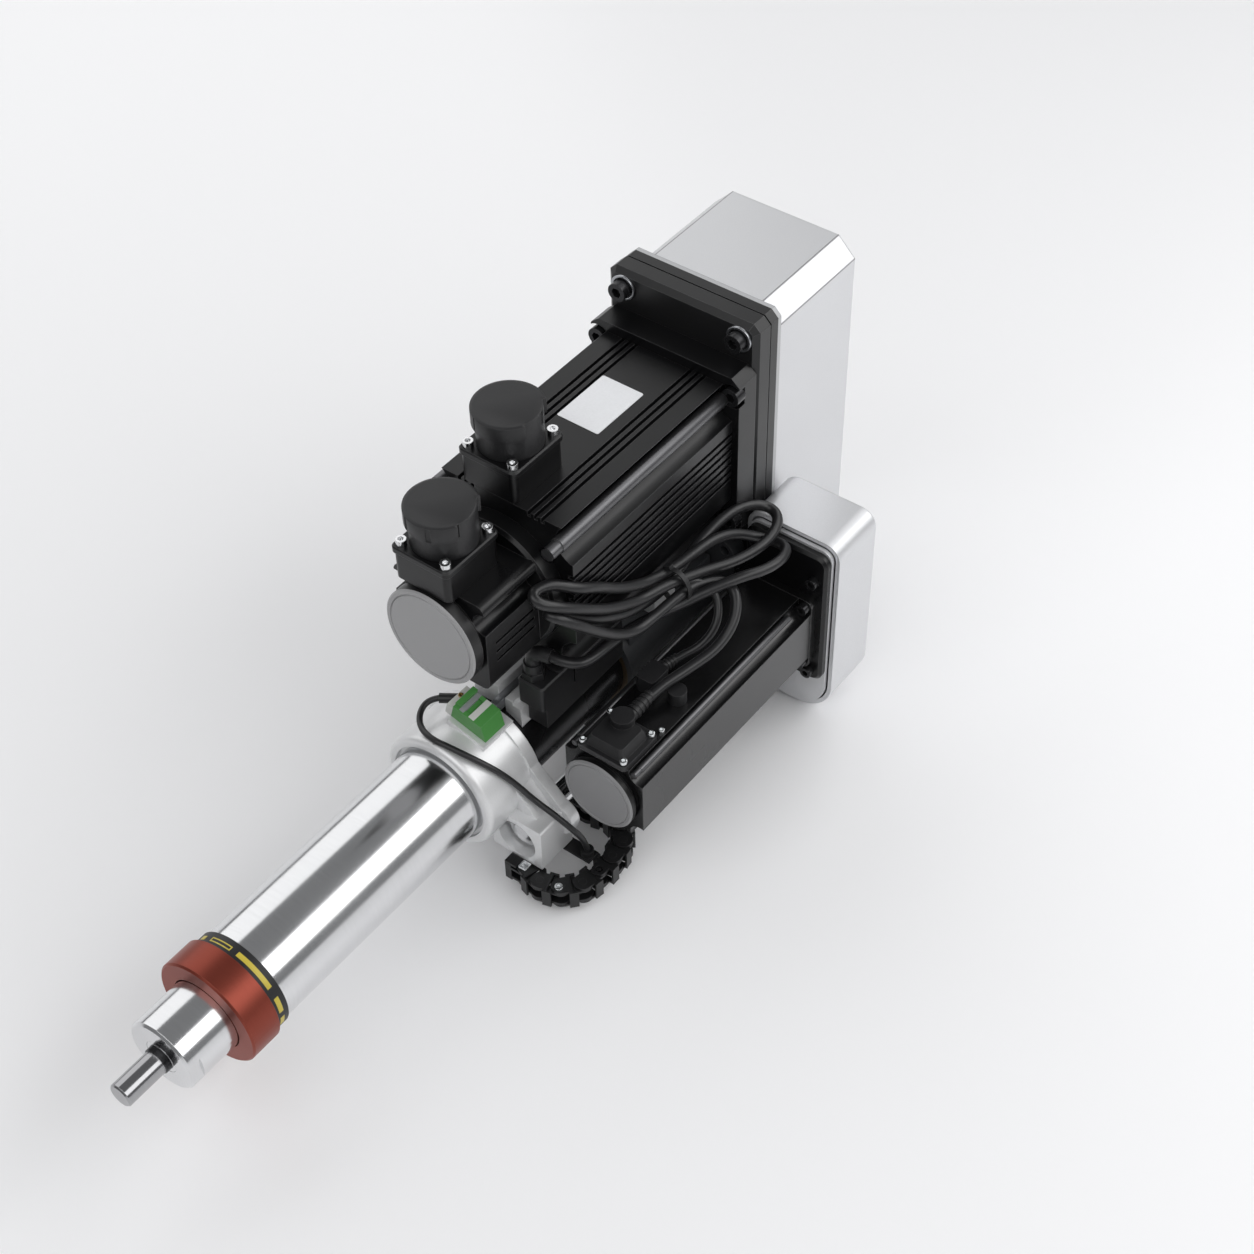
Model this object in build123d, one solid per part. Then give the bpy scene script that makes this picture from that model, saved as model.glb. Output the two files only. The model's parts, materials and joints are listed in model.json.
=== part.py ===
from build123d import *
import math
import os

# Drilling and tapping spindle unit, millimetres, +Z up.
# The spindle points along -Y. The origin is the centre of the foot's machined underside.

# Driving dimensions: layout
spindle_height = 70.0
motor_rise = 131.0
plate_front = 59.0
feed_axis_x = 45.7
feed_axis_z = 39.8
feed_motor_x = 88.2
feed_motor_z = 84.1
feed_stroke = 40.0
seat_gap = 0.05
running_gap = 0.05

# Driving dimensions: quill and nose
quill_diameter = 66.0
quill_wall = 5.4
head_front = -196.0
head_length = 48.0
quill_reach = 182.0
band_width = 10.0
band_wall = 1.2
collar_width = 21.0
collar_diameter = 73.4
nose_diameter = 49.0
nose_reach = 36.0
arbor_diameter = 16.0
arbor_reach = 32.0
arbor_shank = 18.0
arbor_seat = 15.0
shaft_diameter = 30.0
spline_diameter = 22.0
spline_root = 18.5
spline_count = 6
spindle_bearing_width = 13.0

# Driving dimensions: feed head casting
head_diameter = 84.0
block_width = 40.0
block_height = 35.0
block_depth = 32.0
block_bore = 29.0
head_flange = 8.0
rod_diameter = 16.0
rod_bore = 11.2
nut_diameter = 26.0
nut_length = 30.0
screw_diameter = 10.0

# Driving dimensions: body casting and guide bridge
body_front = -50.0
body_wall = 5.0
bush_wall = 3.5
foot_width = 110.0
foot_height = 16.0
foot_length = 100.0
foot_hole_x = 86.0
foot_hole_y = 76.0
foot_hole = 10.2
foot_hole_depth = 13.0
bridge_front = -140.0
bridge_rise = 46.0
slot_width = 5.0
key_width = 4.6
key_height = 8.0

# Driving dimensions: spindle drive
drive_plate_width = 114.0
drive_plate_thickness = 26.0
housing_width = 108.0
housing_depth = 88.5
housing_wall = 4.0
housing_bevel = 13.0
plate_margin = 3.0
plate_bevel = 5.0
belt_pitch = 8.0
drive_teeth = 24
hub_teeth = 30
spindle_belt_width = 30.0
belt_thickness = 4.0
hub_diameter = 30.0
hub_bearing_diameter = 55.0

# Driving dimensions: spindle motor
flange_width = 114.0
flange_height = 130.0
flange_corner = 165.0
flange_thickness = 18.0
flange_hole_circle = 145.0
motor_width = 104.0
motor_height = 116.0
motor_length = 159.0
bell_length = 12.0
bell_diameter = 92.0
encoder_box = 68.0
encoder_box_length = 47.0
encoder_cap_diameter = 67.2
encoder_cap_width = 9.0
motor_shaft_diameter = 24.0
motor_pilot = 110.0
pulley_opening = 70.0

# Driving dimensions: sockets on the spindle motor
socket_width = 41.0
socket_length = 45.0
socket_height = 24.0
socket_cap_diameter = 44.0
socket_cap_height = 26.0
power_socket_x = -9.0
encoder_socket_x = -4.5

# Driving dimensions: feed drive
feed_motor_size = 60.0
feed_motor_length = 186.6
feed_cap_diameter = 52.0
feed_cap_width = 7.0
feed_shaft_diameter = 14.0
feed_plate_front = 45.0
feed_plate_thickness = 8.6
feed_housing_depth = 43.8
feed_housing_left = 57.6
feed_housing_right = 128.3
feed_housing_bottom = 1.0
feed_housing_top = 155.6
feed_housing_wall = 3.0
feed_top_corner = 12.0
feed_bottom_corner = 28.0
feed_cover_thickness = 3.0
feed_tongue_radius = 22.0
feed_belt_pitch = 5.0
feed_teeth = 20
feed_belt_width = 15.0
feed_belt_thickness = 3.0

# Driving dimensions: drag chain
chain_pitch = 14.0
chain_height = 14.0
chain_width = 16.0
chain_lug = 12.2
chain_plate = 1.8
chain_pin = 5.0
chain_open_gap = 1.3
chain_x = 54.0
chain_mid_y = -148.0
chain_bottom = 7.0
chain_half_angles = [-15.0, 17.0, 49.0, 81.0]

# Driving dimensions: fasteners and cables
feed_cable = 6.5
signal_cable = 5.5
sensor_cable = 4.0
main_screw = 8.0

# Driving dimensions: home sensor
sensor_tilt = 14.9
sensor_left = -21.8
sensor_length = 32.5
sensor_depth = 18.6
sensor_rise = 10.6
sensor_slant = 5.9

# Derived places
quill_bore = quill_diameter - 2 * quill_wall
motor_z = spindle_height + motor_rise
head_rear = head_front + head_length
quill_front = head_front - quill_reach
band_front = quill_front
band_rear = band_front + band_width
collar_rear = band_front
collar_front = collar_rear - collar_width
nose_front = collar_front - nose_reach
arbor_front = nose_front - arbor_reach
plate_rear = plate_front + drive_plate_thickness
housing_rear = plate_rear + housing_depth
flange_front = plate_front - flange_thickness
motor_front = flange_front
motor_rear = motor_front - motor_length
bell_rear = motor_rear - bell_length
encoder_rear = bell_rear - encoder_box_length
barrel_radius = quill_diameter / 2 + bush_wall + body_wall
housing_top = motor_z + 90.4
feed_plate_rear = feed_plate_front + feed_plate_thickness
feed_housing_rear = feed_plate_rear + feed_housing_depth
feed_motor_front = feed_plate_front
feed_motor_rear = feed_motor_front - feed_motor_length
parts = {}


def rod_y(diameter, y_from, y_to, x=0.0, z=0.0):
    """Round bar along Y between two places."""
    length = y_to - y_from
    return Pos(x, (y_from + y_to) / 2, z) * Rot(90, 0, 0) * Cylinder(diameter / 2, length)


def ring_y(outer, inner, y_from, y_to, x=0.0, z=0.0):
    """Tube along Y with a clean through bore."""
    return rod_y(outer, y_from, y_to, x, z) - rod_y(inner, y_from - 1, y_to + 1, x, z)


def block(x_from, x_to, y_from, y_to, z_from, z_to):
    """Rectangular solid between two corners."""
    centre = Pos((x_from + x_to) / 2, (y_from + y_to) / 2, (z_from + z_to) / 2)
    return centre * Box(abs(x_to - x_from), abs(y_to - y_from), abs(z_to - z_from))


def slab_y(sketch, y_from, y_to):
    """Extrudes an outline drawn in X and Z from one Y place to another."""
    return extrude(Plane.XZ.offset(-y_to) * sketch, y_to - y_from)


def slab_z(sketch, z_from, z_to):
    """Extrudes an outline drawn in X and Y upwards."""
    return extrude(Plane.XY.offset(z_from) * sketch, z_to - z_from)


def rounded(x_from, x_to, z_from, z_to, radius):
    """Rounded rectangle outline between two corners."""
    shape = RectangleRounded(x_to - x_from, z_to - z_from, radius)
    return Pos((x_from + x_to) / 2, (z_from + z_to) / 2) * shape


def disc(diameter, x, z):
    """Round outline."""
    return Pos(x, z) * Circle(diameter / 2)


def turned_y(points, x=0.0, z=0.0):
    """Turns a profile of (radius, y) points about an axis along Y."""
    outline = Polyline(*[(radius, y) for radius, y in points], close=True)
    return Pos(x, 0, z) * revolve(make_face(outline), Axis.Y)


def front_edges(solid):
    """Edges of the face that looks along -Y."""
    return solid.faces().sort_by(Axis.Y)[0].edges()


def save(name, shape):
    """Keeps a finished piece under its node name."""
    parts[name] = shape


def corner_places(pitch_x, pitch_z, x, z):
    """The four corners of a bolt rectangle."""
    half_x = pitch_x / 2
    half_z = pitch_z / 2
    return [(x + sx * half_x, z + sz * half_z) for sx in (-1, 1) for sz in (-1, 1)]


def cap_screw_y(size, x, z, seat_y, grip):
    """Socket cap screw along +Y whose head stands on a seat that looks along -Y."""
    head = rod_y(size * 1.6, seat_y - size, seat_y, x, z)
    socket = Plane.XZ.offset(size - seat_y) * (Pos(x, z) * RegularPolygon(size * 0.45, 6))
    head = head - extrude(socket, -size * 0.55)
    return head + rod_y(size, seat_y - size * 0.2, seat_y + grip, x, z)


def cap_screw_z(size, x, y, seat_z, grip):
    """Socket cap screw pointing down whose head stands on a flat top."""
    head = Pos(x, y, seat_z + size / 2) * Cylinder(size * 0.8, size)
    socket = Plane.XY.offset(seat_z + size) * (Pos(x, y) * RegularPolygon(size * 0.45, 6))
    head = head - extrude(socket, -size * 0.55)
    return head + Pos(x, y, seat_z - grip / 2 + size * 0.1) * Cylinder(size / 2, grip + size * 0.2)


def screw_hole_y(size, x, z, y_from, y_to):
    """Clearance for a screw shank along Y."""
    return rod_y(size + 2 * seat_gap * 4, y_from, y_to, x, z)


# Spindle, quill and nose

def make_quill():
    rear = head_front + 28.0
    sleeve = ring_y(quill_diameter, quill_bore, quill_front, rear, 0, spindle_height)
    spigot_length = collar_width - 7.0
    spigot = ring_y(quill_diameter - 4, quill_bore, quill_front - spigot_length, quill_front, 0, spindle_height)
    save("spindle_sleeve", sleeve + spigot)
    band = ring_y(quill_diameter + 2 * band_wall, quill_diameter + 2 * seat_gap,
                  band_front + seat_gap, band_rear, 0, spindle_height)
    save("stripe_band", band)
    collar = rod_y(collar_diameter, collar_front, collar_rear, 0, spindle_height)
    collar = chamfer(collar.faces().sort_by(Axis.Y)[0].edges(), 1.2)
    collar = collar - rod_y(nose_diameter + 1.2, collar_front - 1, collar_rear, 0, spindle_height)
    collar = collar - rod_y(quill_diameter - 4 + 2 * seat_gap, collar_front + 6.9, collar_rear + 1,
                            0, spindle_height)
    save("nose_collar", collar)


def spline_outline(root, tip, key_width_mm, x, z):
    """Outline of a splined bar: a round root with straight keys."""
    outline = Circle(root / 2)
    for index in range(spline_count):
        key = Rot(0, 0, index * 360 / spline_count) * Pos(tip / 4, 0) * Rectangle(tip / 2, key_width_mm)
        outline = outline + (key & Circle(tip / 2))
    return Pos(x, z) * outline


def make_spindle():
    seat = shaft_diameter / 2
    nose = nose_diameter / 2
    nose_rear = collar_front + 4.0
    bearing_front = quill_front - 12.0
    tail = body_front + 6.0
    points = [
        (0, nose_front), (nose - 1.5, nose_front), (nose, nose_front + 1.5), (nose, nose_rear),
        (seat + 3, nose_rear), (seat + 3, bearing_front), (seat, bearing_front),
        (seat, tail), (0, tail),
    ]
    shaft = turned_y(points, 0, spindle_height)
    shaft = shaft - rod_y(23.0, nose_front - 1, nose_front + 3, 0, spindle_height)
    seat_rear = nose_front + arbor_seat + 1
    shaft = shaft - rod_y(arbor_shank + 2 * seat_gap, nose_front - 1, seat_rear, 0, spindle_height)
    for side in (-1, 1):
        flat = block(side * (nose - 1.6), side * (nose + 2), nose_front - 1, nose_front + 9,
                     spindle_height - 12, spindle_height + 12)
        shaft = shaft - flat
    spline = slab_y(spline_outline(spline_root, spline_diameter, 5.0, 0, spindle_height),
                    tail, housing_rear - 8)
    save("spindle_shaft", shaft + spline)
    arbor = rod_y(arbor_diameter, arbor_front, nose_front, 0, spindle_height)
    arbor = chamfer(arbor.faces().sort_by(Axis.Y)[0].edges(), 1.0)
    arbor = arbor + rod_y(arbor_shank, nose_front, nose_front + arbor_seat, 0, spindle_height)
    save("arbor", arbor)


def spindle_bearing(y_from):
    """Ball bearing as one closed ring with its two seal recesses."""
    bearing = ring_y(quill_bore - 2 * seat_gap, shaft_diameter + 2 * running_gap, y_from,
                     y_from + spindle_bearing_width, 0, spindle_height)
    for place in (y_from - 1, y_from + spindle_bearing_width - 1):
        bearing = bearing - ring_y(48.0, 37.0, place, place + 2, 0, spindle_height)
    return bearing


def make_spindle_bearings():
    front = quill_front - 8.0
    first = spindle_bearing(front)
    second = spindle_bearing(front + spindle_bearing_width + 0.5)
    rear = spindle_bearing(body_front - 20.0)
    save("spindle_bearings", Compound(children=[first, second, rear]))


# Feed head: the casting that carries the quill

def make_feed_head():
    z = spindle_height
    block_right = feed_axis_x + block_width / 2
    block_left = feed_axis_x - block_width / 2
    block_low = feed_axis_z - block_height / 2 + 1.0
    block_high = block_low + block_height
    block_front = head_rear + 2.0 - block_depth
    ring = rod_y(head_diameter, head_front, head_rear, 0, z)
    ring = fillet(ring.faces().sort_by(Axis.Y)[0].edges(), 4.0)
    ear = slab_y(rounded(block_left, block_right, block_low, block_high, 1.5), block_front, head_rear)
    neck = slab_y(make_face(Polyline((20, z + 30), (block_right - 4, block_high - 6),
                                     (block_right - 4, block_low + 4), (-4, z - 40), close=True)),
                  block_front + 8, head_rear)
    flange = slab_y(disc(head_diameter + 2.8, 0, z) + disc(26, block_right - 6, block_high - 9)
                    + make_face(Polyline((10, z + 43.5), (block_right - 2, block_high + 3),
                                         (block_right + 5, block_high - 16), (4, z - 43), close=True)),
                    head_rear - head_flange, head_rear)
    pad = block(sensor_left + 5, sensor_left + sensor_length + 2, head_rear - 28, head_rear, 20, sensor_seat)
    pad = Pos(0, 0, z) * Rot(0, sensor_tilt, 0) * pad
    head = ring + ear + neck + flange + pad
    head = head - rod_y(quill_diameter + 2 * seat_gap, head_front - 1, head_rear + 3, 0, z)
    head = head - rod_y(quill_diameter + 5, head_front - 1, head_front + 3, 0, z)
    head = head - rod_y(block_bore, block_front - 1, block_front + 15, feed_axis_x, feed_axis_z)
    head = head - rod_y(rod_diameter + 2 * seat_gap, block_front, head_rear + 3, feed_axis_x, feed_axis_z)
    head = head - Pos(-1.5, head_front + 4.5, z + head_diameter / 2) * Cylinder(2.0, 10)
    save("feed_head", head)


def make_thrust_rod():
    """Hollow push rod with a shoulder in the feed head, and the ball nut on its rear end."""
    block_front = head_rear + 2.0 - block_depth
    rod_front = block_front + 6.0
    nut_front = 0.0
    rod = rod_y(rod_diameter, rod_front, nut_front + 8, feed_axis_x, feed_axis_z)
    rod = chamfer(rod.faces().sort_by(Axis.Y)[0].edges(), 1.0)
    rod = rod + rod_y(block_bore - 5, block_front + 8, block_front + 15 - seat_gap, feed_axis_x, feed_axis_z)
    rod = rod - rod_y(rod_bore, body_front, nut_front + 9, feed_axis_x, feed_axis_z)
    save("thrust_rod", rod)
    nut = rod_y(nut_diameter, nut_front, nut_front + nut_length, feed_axis_x, feed_axis_z)
    nut = nut - rod_y(rod_diameter + 2 * seat_gap, nut_front - 1, nut_front + 8 + seat_gap,
                      feed_axis_x, feed_axis_z)
    nut = nut - rod_y(screw_diameter + 2 * running_gap, nut_front - 1, nut_front + nut_length + 1,
                      feed_axis_x, feed_axis_z)
    save("ball_nut", nut)


def make_guide_tube():
    z = spindle_height
    front = head_front + 28.0 + 1.0
    rear = plate_front - 16.0
    tube = ring_y(quill_diameter, quill_bore, front, rear, 0, z)
    save("guide_tube", tube)


def make_guide_key():
    """Flat bar on the feed head that rides in the bridge's slot and stops the quill from turning."""
    z = spindle_height + quill_diameter / 2 + 3.4
    centre = slot_centre()
    rear = head_rear + feed_stroke + 28.0
    bar = block(centre - key_width / 2, centre + key_width / 2, head_rear, rear, z, z + key_height)
    bar = chamfer(bar.faces().sort_by(Axis.Y)[-1].edges(), 1.0)
    save("guide_key", bar)


def slot_centre():
    return 8.0


# Body casting, bush and bridge

def make_main_body():
    z = spindle_height
    radius = barrel_radius
    feed_radius = nut_diameter / 2 + body_wall + 1
    rear = plate_front
    barrel = rod_y(2 * radius, body_front, rear, 0, z)
    feed_barrel = rod_y(2 * feed_radius, body_front, feed_plate_front, feed_axis_x, feed_axis_z)
    saddle_outline = make_face(Polyline((-36, 4), (40, 4), (feed_axis_x + 10, feed_axis_z - 16),
                                        (feed_axis_x - 6, feed_axis_z + 18), (radius - 6, z + 8),
                                        (radius - 8, z + bridge_rise - 10), (-14, z + bridge_rise - 10),
                                        (-radius + 2, z + 14), (-radius + 2, z - 14), close=True))
    saddle = slab_y(saddle_outline, body_front + 6, feed_plate_front)
    foot = slab_z(RectangleRounded(foot_width, foot_length, 8), 0, foot_height)
    foot = chamfer(foot.faces().sort_by(Axis.Z)[-1].edges(), 1.5)
    rib = slab_y(make_face(Polyline((-50, foot_height - 2), (-50, foot_height + 4), (-38, z - 8), (-30, z - 8),
                                    (-30, foot_height - 2), close=True)), -12, 0)
    body = barrel + feed_barrel + saddle + foot + rib + Pos(0, 26, 0) * rib
    belt_room = disc(2 * feed_tongue_radius + 6, feed_axis_x, feed_axis_z)
    flange = slab_y(rounded(-52, 52, 26, z + 52, 12) - belt_room, plate_front - 12, plate_front)
    body = body + flange
    tongue = slab_y(disc(2 * feed_tongue_radius + 2.4, feed_axis_x, feed_axis_z), feed_plate_front, rear + 1)
    body = body - tongue - tongue_sweep(feed_plate_front, rear + 1, feed_tongue_radius + 1.2)
    bush = quill_diameter + 2 * bush_wall
    body = body - rod_y(quill_diameter + 1, body_front - 1, rear + 1, 0, z)
    body = body - rod_y(bush + 2 * seat_gap, body_front - 1, body_front + 60, 0, z)
    body = body - rod_y(nut_diameter + 2 * running_gap, body_front + 8, rear + 1, feed_axis_x, feed_axis_z)
    rod_room = rod_diameter + 2 * running_gap
    body = body - rod_y(rod_room, body_front - 1, body_front + 9, feed_axis_x, feed_axis_z)
    body = body - motor_keep_out()
    for x, y in corner_places(foot_hole_x, foot_hole_y, 0, 0):
        body = body - Pos(x, y, foot_hole_depth / 2) * Cylinder(foot_hole / 2, foot_hole_depth)
    for x, hole_z in corner_places(88, 76, 0, z + 6):
        body = body - rod_y(main_screw - 1, plate_front - 12.5, rear + 1, x, hole_z)
    for x, y in bridge_screws:
        body = body - Pos(x, y, bridge_top - 13 + 20) * Cylinder(3.0 + seat_gap, 40.4)
    save("main_body", body)
    quill_room = quill_diameter + 2 * running_gap
    save("quill_bush", ring_y(bush, quill_room, body_front, body_front + 60 - seat_gap, 0, z))


def tongue_sweep(y_from, y_to, radius):
    """Room for the feed belt between its two pulleys."""
    dx = feed_motor_x - feed_axis_x
    dz = feed_motor_z - feed_axis_z
    length = math.hypot(dx, dz)
    angle = math.degrees(math.atan2(dz, dx))
    strip = Pos(feed_axis_x + dx / 2, feed_axis_z + dz / 2) * Rot(0, 0, angle) * Rectangle(length, 2 * radius)
    return slab_y(strip + disc(2 * radius, feed_axis_x, feed_axis_z), y_from, y_to)


def motor_keep_out():
    """Room round the feed motor."""
    half = feed_motor_size / 2 + 1.0
    outline = rounded(feed_motor_x - half, feed_motor_x + half, feed_motor_z - half, feed_motor_z + half, 9)
    return slab_y(outline, body_front - 1, feed_plate_front + 0.5)


bridge_top = spindle_height + bridge_rise + 5.0
bridge_screws = [(-8.0, -11.0), (28.0, -11.0)]
bridge_right = 23.0


def make_guide_bridge():
    """Arm over the guide tube with the slot of the anti-rotation key."""
    z = spindle_height
    top = z + bridge_rise
    low = z + quill_diameter / 2 + 0.8
    beam = slab_y(rounded(-14, slot_centre() - slot_width / 2 + 4, low + 0.5, top + 5, 5), bridge_front, -20)
    plate = slab_y(rounded(0, bridge_right, z + 20, top - 2, 3), bridge_front, -20)
    bridge = beam + plate
    bridge = bridge - rod_y(quill_diameter + 1.6, bridge_front - 1, 0, 0, z)
    centre = slot_centre()
    slot = block(centre - slot_width / 2, centre + slot_width / 2, bridge_front - 1, body_front - 6,
                 low - 2, top + 20)
    bridge = bridge - slot
    pocket = Pos(bridge_right, bridge_front + 2, top - 3) * Cylinder(6.5, 4)
    bridge = bridge - pocket
    pad = block(-14, 38, -22, 0, z + 20, top + 5)
    pad = chamfer(pad.faces().sort_by(Axis.Z)[-1].edges(), 1.5)
    body_top = block(-60, 60, body_front + 6 - seat_gap, 1, 0, z + bridge_rise - 10 + seat_gap)
    bridge = bridge + pad - body_top - rod_y(2 * barrel_radius + 2 * seat_gap, body_front - seat_gap, 1, 0, z)
    for x, y in bridge_screws:
        bridge = bridge - Pos(x, y, bridge_top - 10) * Cylinder(3.4, 40)
    save("guide_bridge", bridge)


def make_terminal_box():
    """Junction box beside and over the bridge, with a long cover and a bent cable gland."""
    floor = spindle_height + bridge_rise - 2
    front = motor_rear - 18
    middle = motor_rear + 14
    rear = motor_rear + 62
    box = block(bridge_right - 5, box_right, front, middle, floor + seat_gap, box_top)
    box = fillet(box.edges().filter_by(Axis.Z), 2.5)
    box = chamfer(box.faces().sort_by(Axis.Z)[-1].edges(), 1.0)
    cover = block(bridge_right - 7, box_right, middle, rear, floor + seat_gap, box_top - 2)
    cover = chamfer(cover.faces().sort_by(Axis.Z)[-1].edges(), 1.5)
    side = block(bridge_right + 0.3, box_right, front + 3, rear, floor - 16, floor + 1)
    save("terminal_box", box + cover + side)
    base = Plane.XY.offset(box_top + seat_gap) * Pos(gland_x, gland_y) * RegularPolygon(7.5, 6)
    gland = extrude(base, 5)
    gland = gland + Pos(gland_x, gland_y, box_top + 7) * Cylinder(6.0, 10)
    bend = FilletPolyline((gland_x, gland_y, box_top + 10), (gland_x, gland_y, elbow_z),
                          (elbow_end_x, elbow_end_y, elbow_z), radius=7.0)
    start = Plane(origin=bend @ 0, z_dir=bend % 0)
    elbow = sweep(start * Circle(feed_cable / 2 + 1.6), path=bend)
    save("cable_gland", gland + elbow)


box_right = bridge_right + 15.0
box_top = spindle_height + bridge_rise + 18.0
gland_x = bridge_right + 2.0
gland_y = motor_rear - 10.0
elbow_z = box_top + 21.0
elbow_end_x = gland_x + 12.5
elbow_end_y = gland_y + 3.0


# Spindle drive: plate, belt housing, pulleys and belt

def drive_outline(half_width, top, bevel, bottom_radius):
    """Plate outline: two bevelled top corners and a round end about the spindle."""
    z = spindle_height
    outline = Polyline((-half_width, z), (-half_width, top - bevel), (-half_width + bevel, top),
                       (half_width - bevel, top), (half_width, top - bevel), (half_width, z), close=True)
    return make_face(outline) + disc(2 * bottom_radius, 0, z)


def make_drive_plate():
    z = spindle_height
    half = drive_plate_width / 2
    top = housing_top + plate_margin
    front_layer = slab_y(drive_outline(half, top, plate_bevel, half), plate_front, plate_front + 14)
    front_layer = chamfer(front_edges(front_layer), 3.5)
    groove_front = plate_front + 14
    groove_rear = groove_front + 1.5
    groove = slab_y(drive_outline(half - 1.6, top - 1.6, plate_bevel, half - 1.6), groove_front, groove_rear)
    rear_layer = slab_y(drive_outline(half - 0.4, top - 0.4, plate_bevel, half - 0.4), groove_rear, plate_rear)
    plate = front_layer + groove + rear_layer
    plate = plate - tongue_sweep(plate_front - 1, plate_rear - 1.8, feed_tongue_radius + 1.2)
    plate = plate - rod_y(motor_pilot, plate_front - 1, plate_front + 8, 0, motor_z)
    plate = plate - rod_y(pulley_opening, plate_front, plate_rear + 1, 0, motor_z)
    plate = plate - rod_y(hub_bearing_diameter + 2 * seat_gap, plate_front + 4, plate_rear + 1, 0, z)
    plate = plate - rod_y(quill_diameter - 18, plate_front - 1, plate_front + 5, 0, z)
    for x, hole_z in motor_screw_places() + plate_screw_places():
        plate = plate - screw_hole_y(main_screw, x, hole_z, plate_front - 1, plate_rear + 1)
    save("drive_plate", plate)


def motor_screw_places():
    pitch = flange_hole_circle / math.sqrt(2)
    return corner_places(pitch, pitch, 0, motor_z)


def plate_screw_places():
    top = housing_top + plate_margin - 12.0
    return [(-44.0, top), (44.0, top)]


def make_drive_housing():
    half = housing_width / 2
    front = plate_rear
    shell = slab_y(drive_outline(half, housing_top, housing_bevel, half), front, housing_rear)
    shell = fillet(shell.faces().sort_by(Axis.Y)[-1].edges(), 2.0)
    inner = half - housing_wall
    shell = shell - slab_y(drive_outline(inner, housing_top - housing_wall, housing_bevel - 2, inner),
                           front - 1, housing_rear - housing_wall)
    cover = rod_y(96.0, housing_rear - 1, housing_rear + 2.5, 0, spindle_height)
    cover = chamfer(cover.faces().sort_by(Axis.Y)[-1].edges(), 1.0)
    save("drive_housing", shell + cover)


def pulley_radius(teeth, pitch):
    return teeth * pitch / (2 * math.pi)


def toothed_pulley(teeth, pitch, width, y_from, x, z):
    """Belt pulley with real teeth and two flanges."""
    outer = pulley_radius(teeth, pitch) - 0.7
    body = rod_y(2 * outer, y_from, y_from + width, x, z)
    gap = pitch * 0.46
    for index in range(teeth):
        turn = Pos(x, y_from + width / 2, z) * Rot(0, 360 * index / teeth, 0)
        body = body - turn * Pos(outer, 0, 0) * Box(pitch * 0.36 * 2, width - 4, gap)
    rim = outer + pitch * 0.35
    for place in (y_from - 1.5, y_from + width):
        body = body + rod_y(2 * rim, place, place + 1.5, x, z)
    return body


def belt_loop(radius_a, centre_a, radius_b, centre_b, thickness, y_from, y_to):
    """Belt as a band round two pulleys."""
    def stadium(grow):
        ra = radius_a + grow
        rb = radius_b + grow
        return make_hull((disc(2 * ra, *centre_a) + disc(2 * rb, *centre_b)).edges())
    return slab_y(stadium(thickness) - stadium(0.0), y_from, y_to)


def make_spindle_drive():
    z = spindle_height
    y_from = plate_rear + 18.0
    motor_radius = pulley_radius(drive_teeth, belt_pitch)
    hub_radius = pulley_radius(hub_teeth, belt_pitch)
    width = spindle_belt_width + 3
    hub = toothed_pulley(hub_teeth, belt_pitch, width, y_from, 0, z)
    hub = hub + rod_y(hub_diameter, plate_front + 5, y_from, 0, z)
    spline = spline_outline(spline_root + 0.3, spline_diameter + 0.3, 5.2, 0, z)
    groove = slab_y(spline, plate_front, y_from + width + 2)
    save("spindle_pulley", hub - groove)
    hub_room = hub_diameter + 2 * running_gap
    bearing = ring_y(hub_bearing_diameter, hub_room, plate_front + 6, plate_front + 19, 0, z)
    screw_bearing = ring_y(nut_diameter, 8.0 + 2 * running_gap, feed_plate_front - 10, feed_plate_front - 2,
                           feed_axis_x, feed_axis_z)
    save("drive_bearings", Compound(children=[bearing, screw_bearing]))
    pulley = toothed_pulley(drive_teeth, belt_pitch, width, y_from, 0, motor_z)
    pulley = pulley - rod_y(motor_shaft_diameter + 2 * seat_gap, y_from - 3, y_from + width + 3, 0, motor_z)
    save("drive_pulley", pulley)
    shaft = rod_y(motor_shaft_diameter, flange_front - 20, y_from + width + 4, 0, motor_z)
    save("motor_shaft", chamfer(shaft.faces().sort_by(Axis.Y)[-1].edges(), 1.0))
    belt = belt_loop(hub_radius - 0.4, (0, z), motor_radius - 0.4, (0, motor_z), belt_thickness - 1.5,
                     y_from + 1.5, y_from + width - 1.5)
    save("spindle_belt", belt)


# Spindle motor

def make_motor_body():
    """Extruded motor frame: flat top panel between grooves, deep corner channels and side fins."""
    half_w = motor_width / 2
    half_h = motor_height / 2
    outline = rounded(-half_w, half_w, motor_z - half_h, motor_z + half_h, 6)
    body = slab_y(outline, motor_rear, motor_front)
    length = motor_length + 2
    middle = (motor_rear + motor_front) / 2
    for sx in (-1, 1):
        for sz in (-1, 1):
            channel = Pos(sx * (half_w + 3), middle, motor_z + sz * (half_h - 11)) * Rot(90, 0, 0)
            body = body - channel * Cylinder(15, length)
        for offset in (21.0, 26.0, 31.0):
            groove = block(sx * offset - 1.2, sx * offset + 1.2, motor_rear - 1, motor_front + 1,
                           motor_z + half_h - 3.5, motor_z + half_h + 1)
            body = body - groove
        for index in range(7):
            fin_z = motor_z + 22.0 - index * 6.0
            groove = block(sx * half_w - 4, sx * half_w + 4, motor_rear - 1, motor_front + 1,
                           fin_z - 1.4, fin_z + 1.4)
            body = body - groove
    body = body - rod_y(motor_shaft_diameter + 1, flange_front - 24, motor_front + 1, 0, motor_z)
    save("motor_frame", body)


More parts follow.
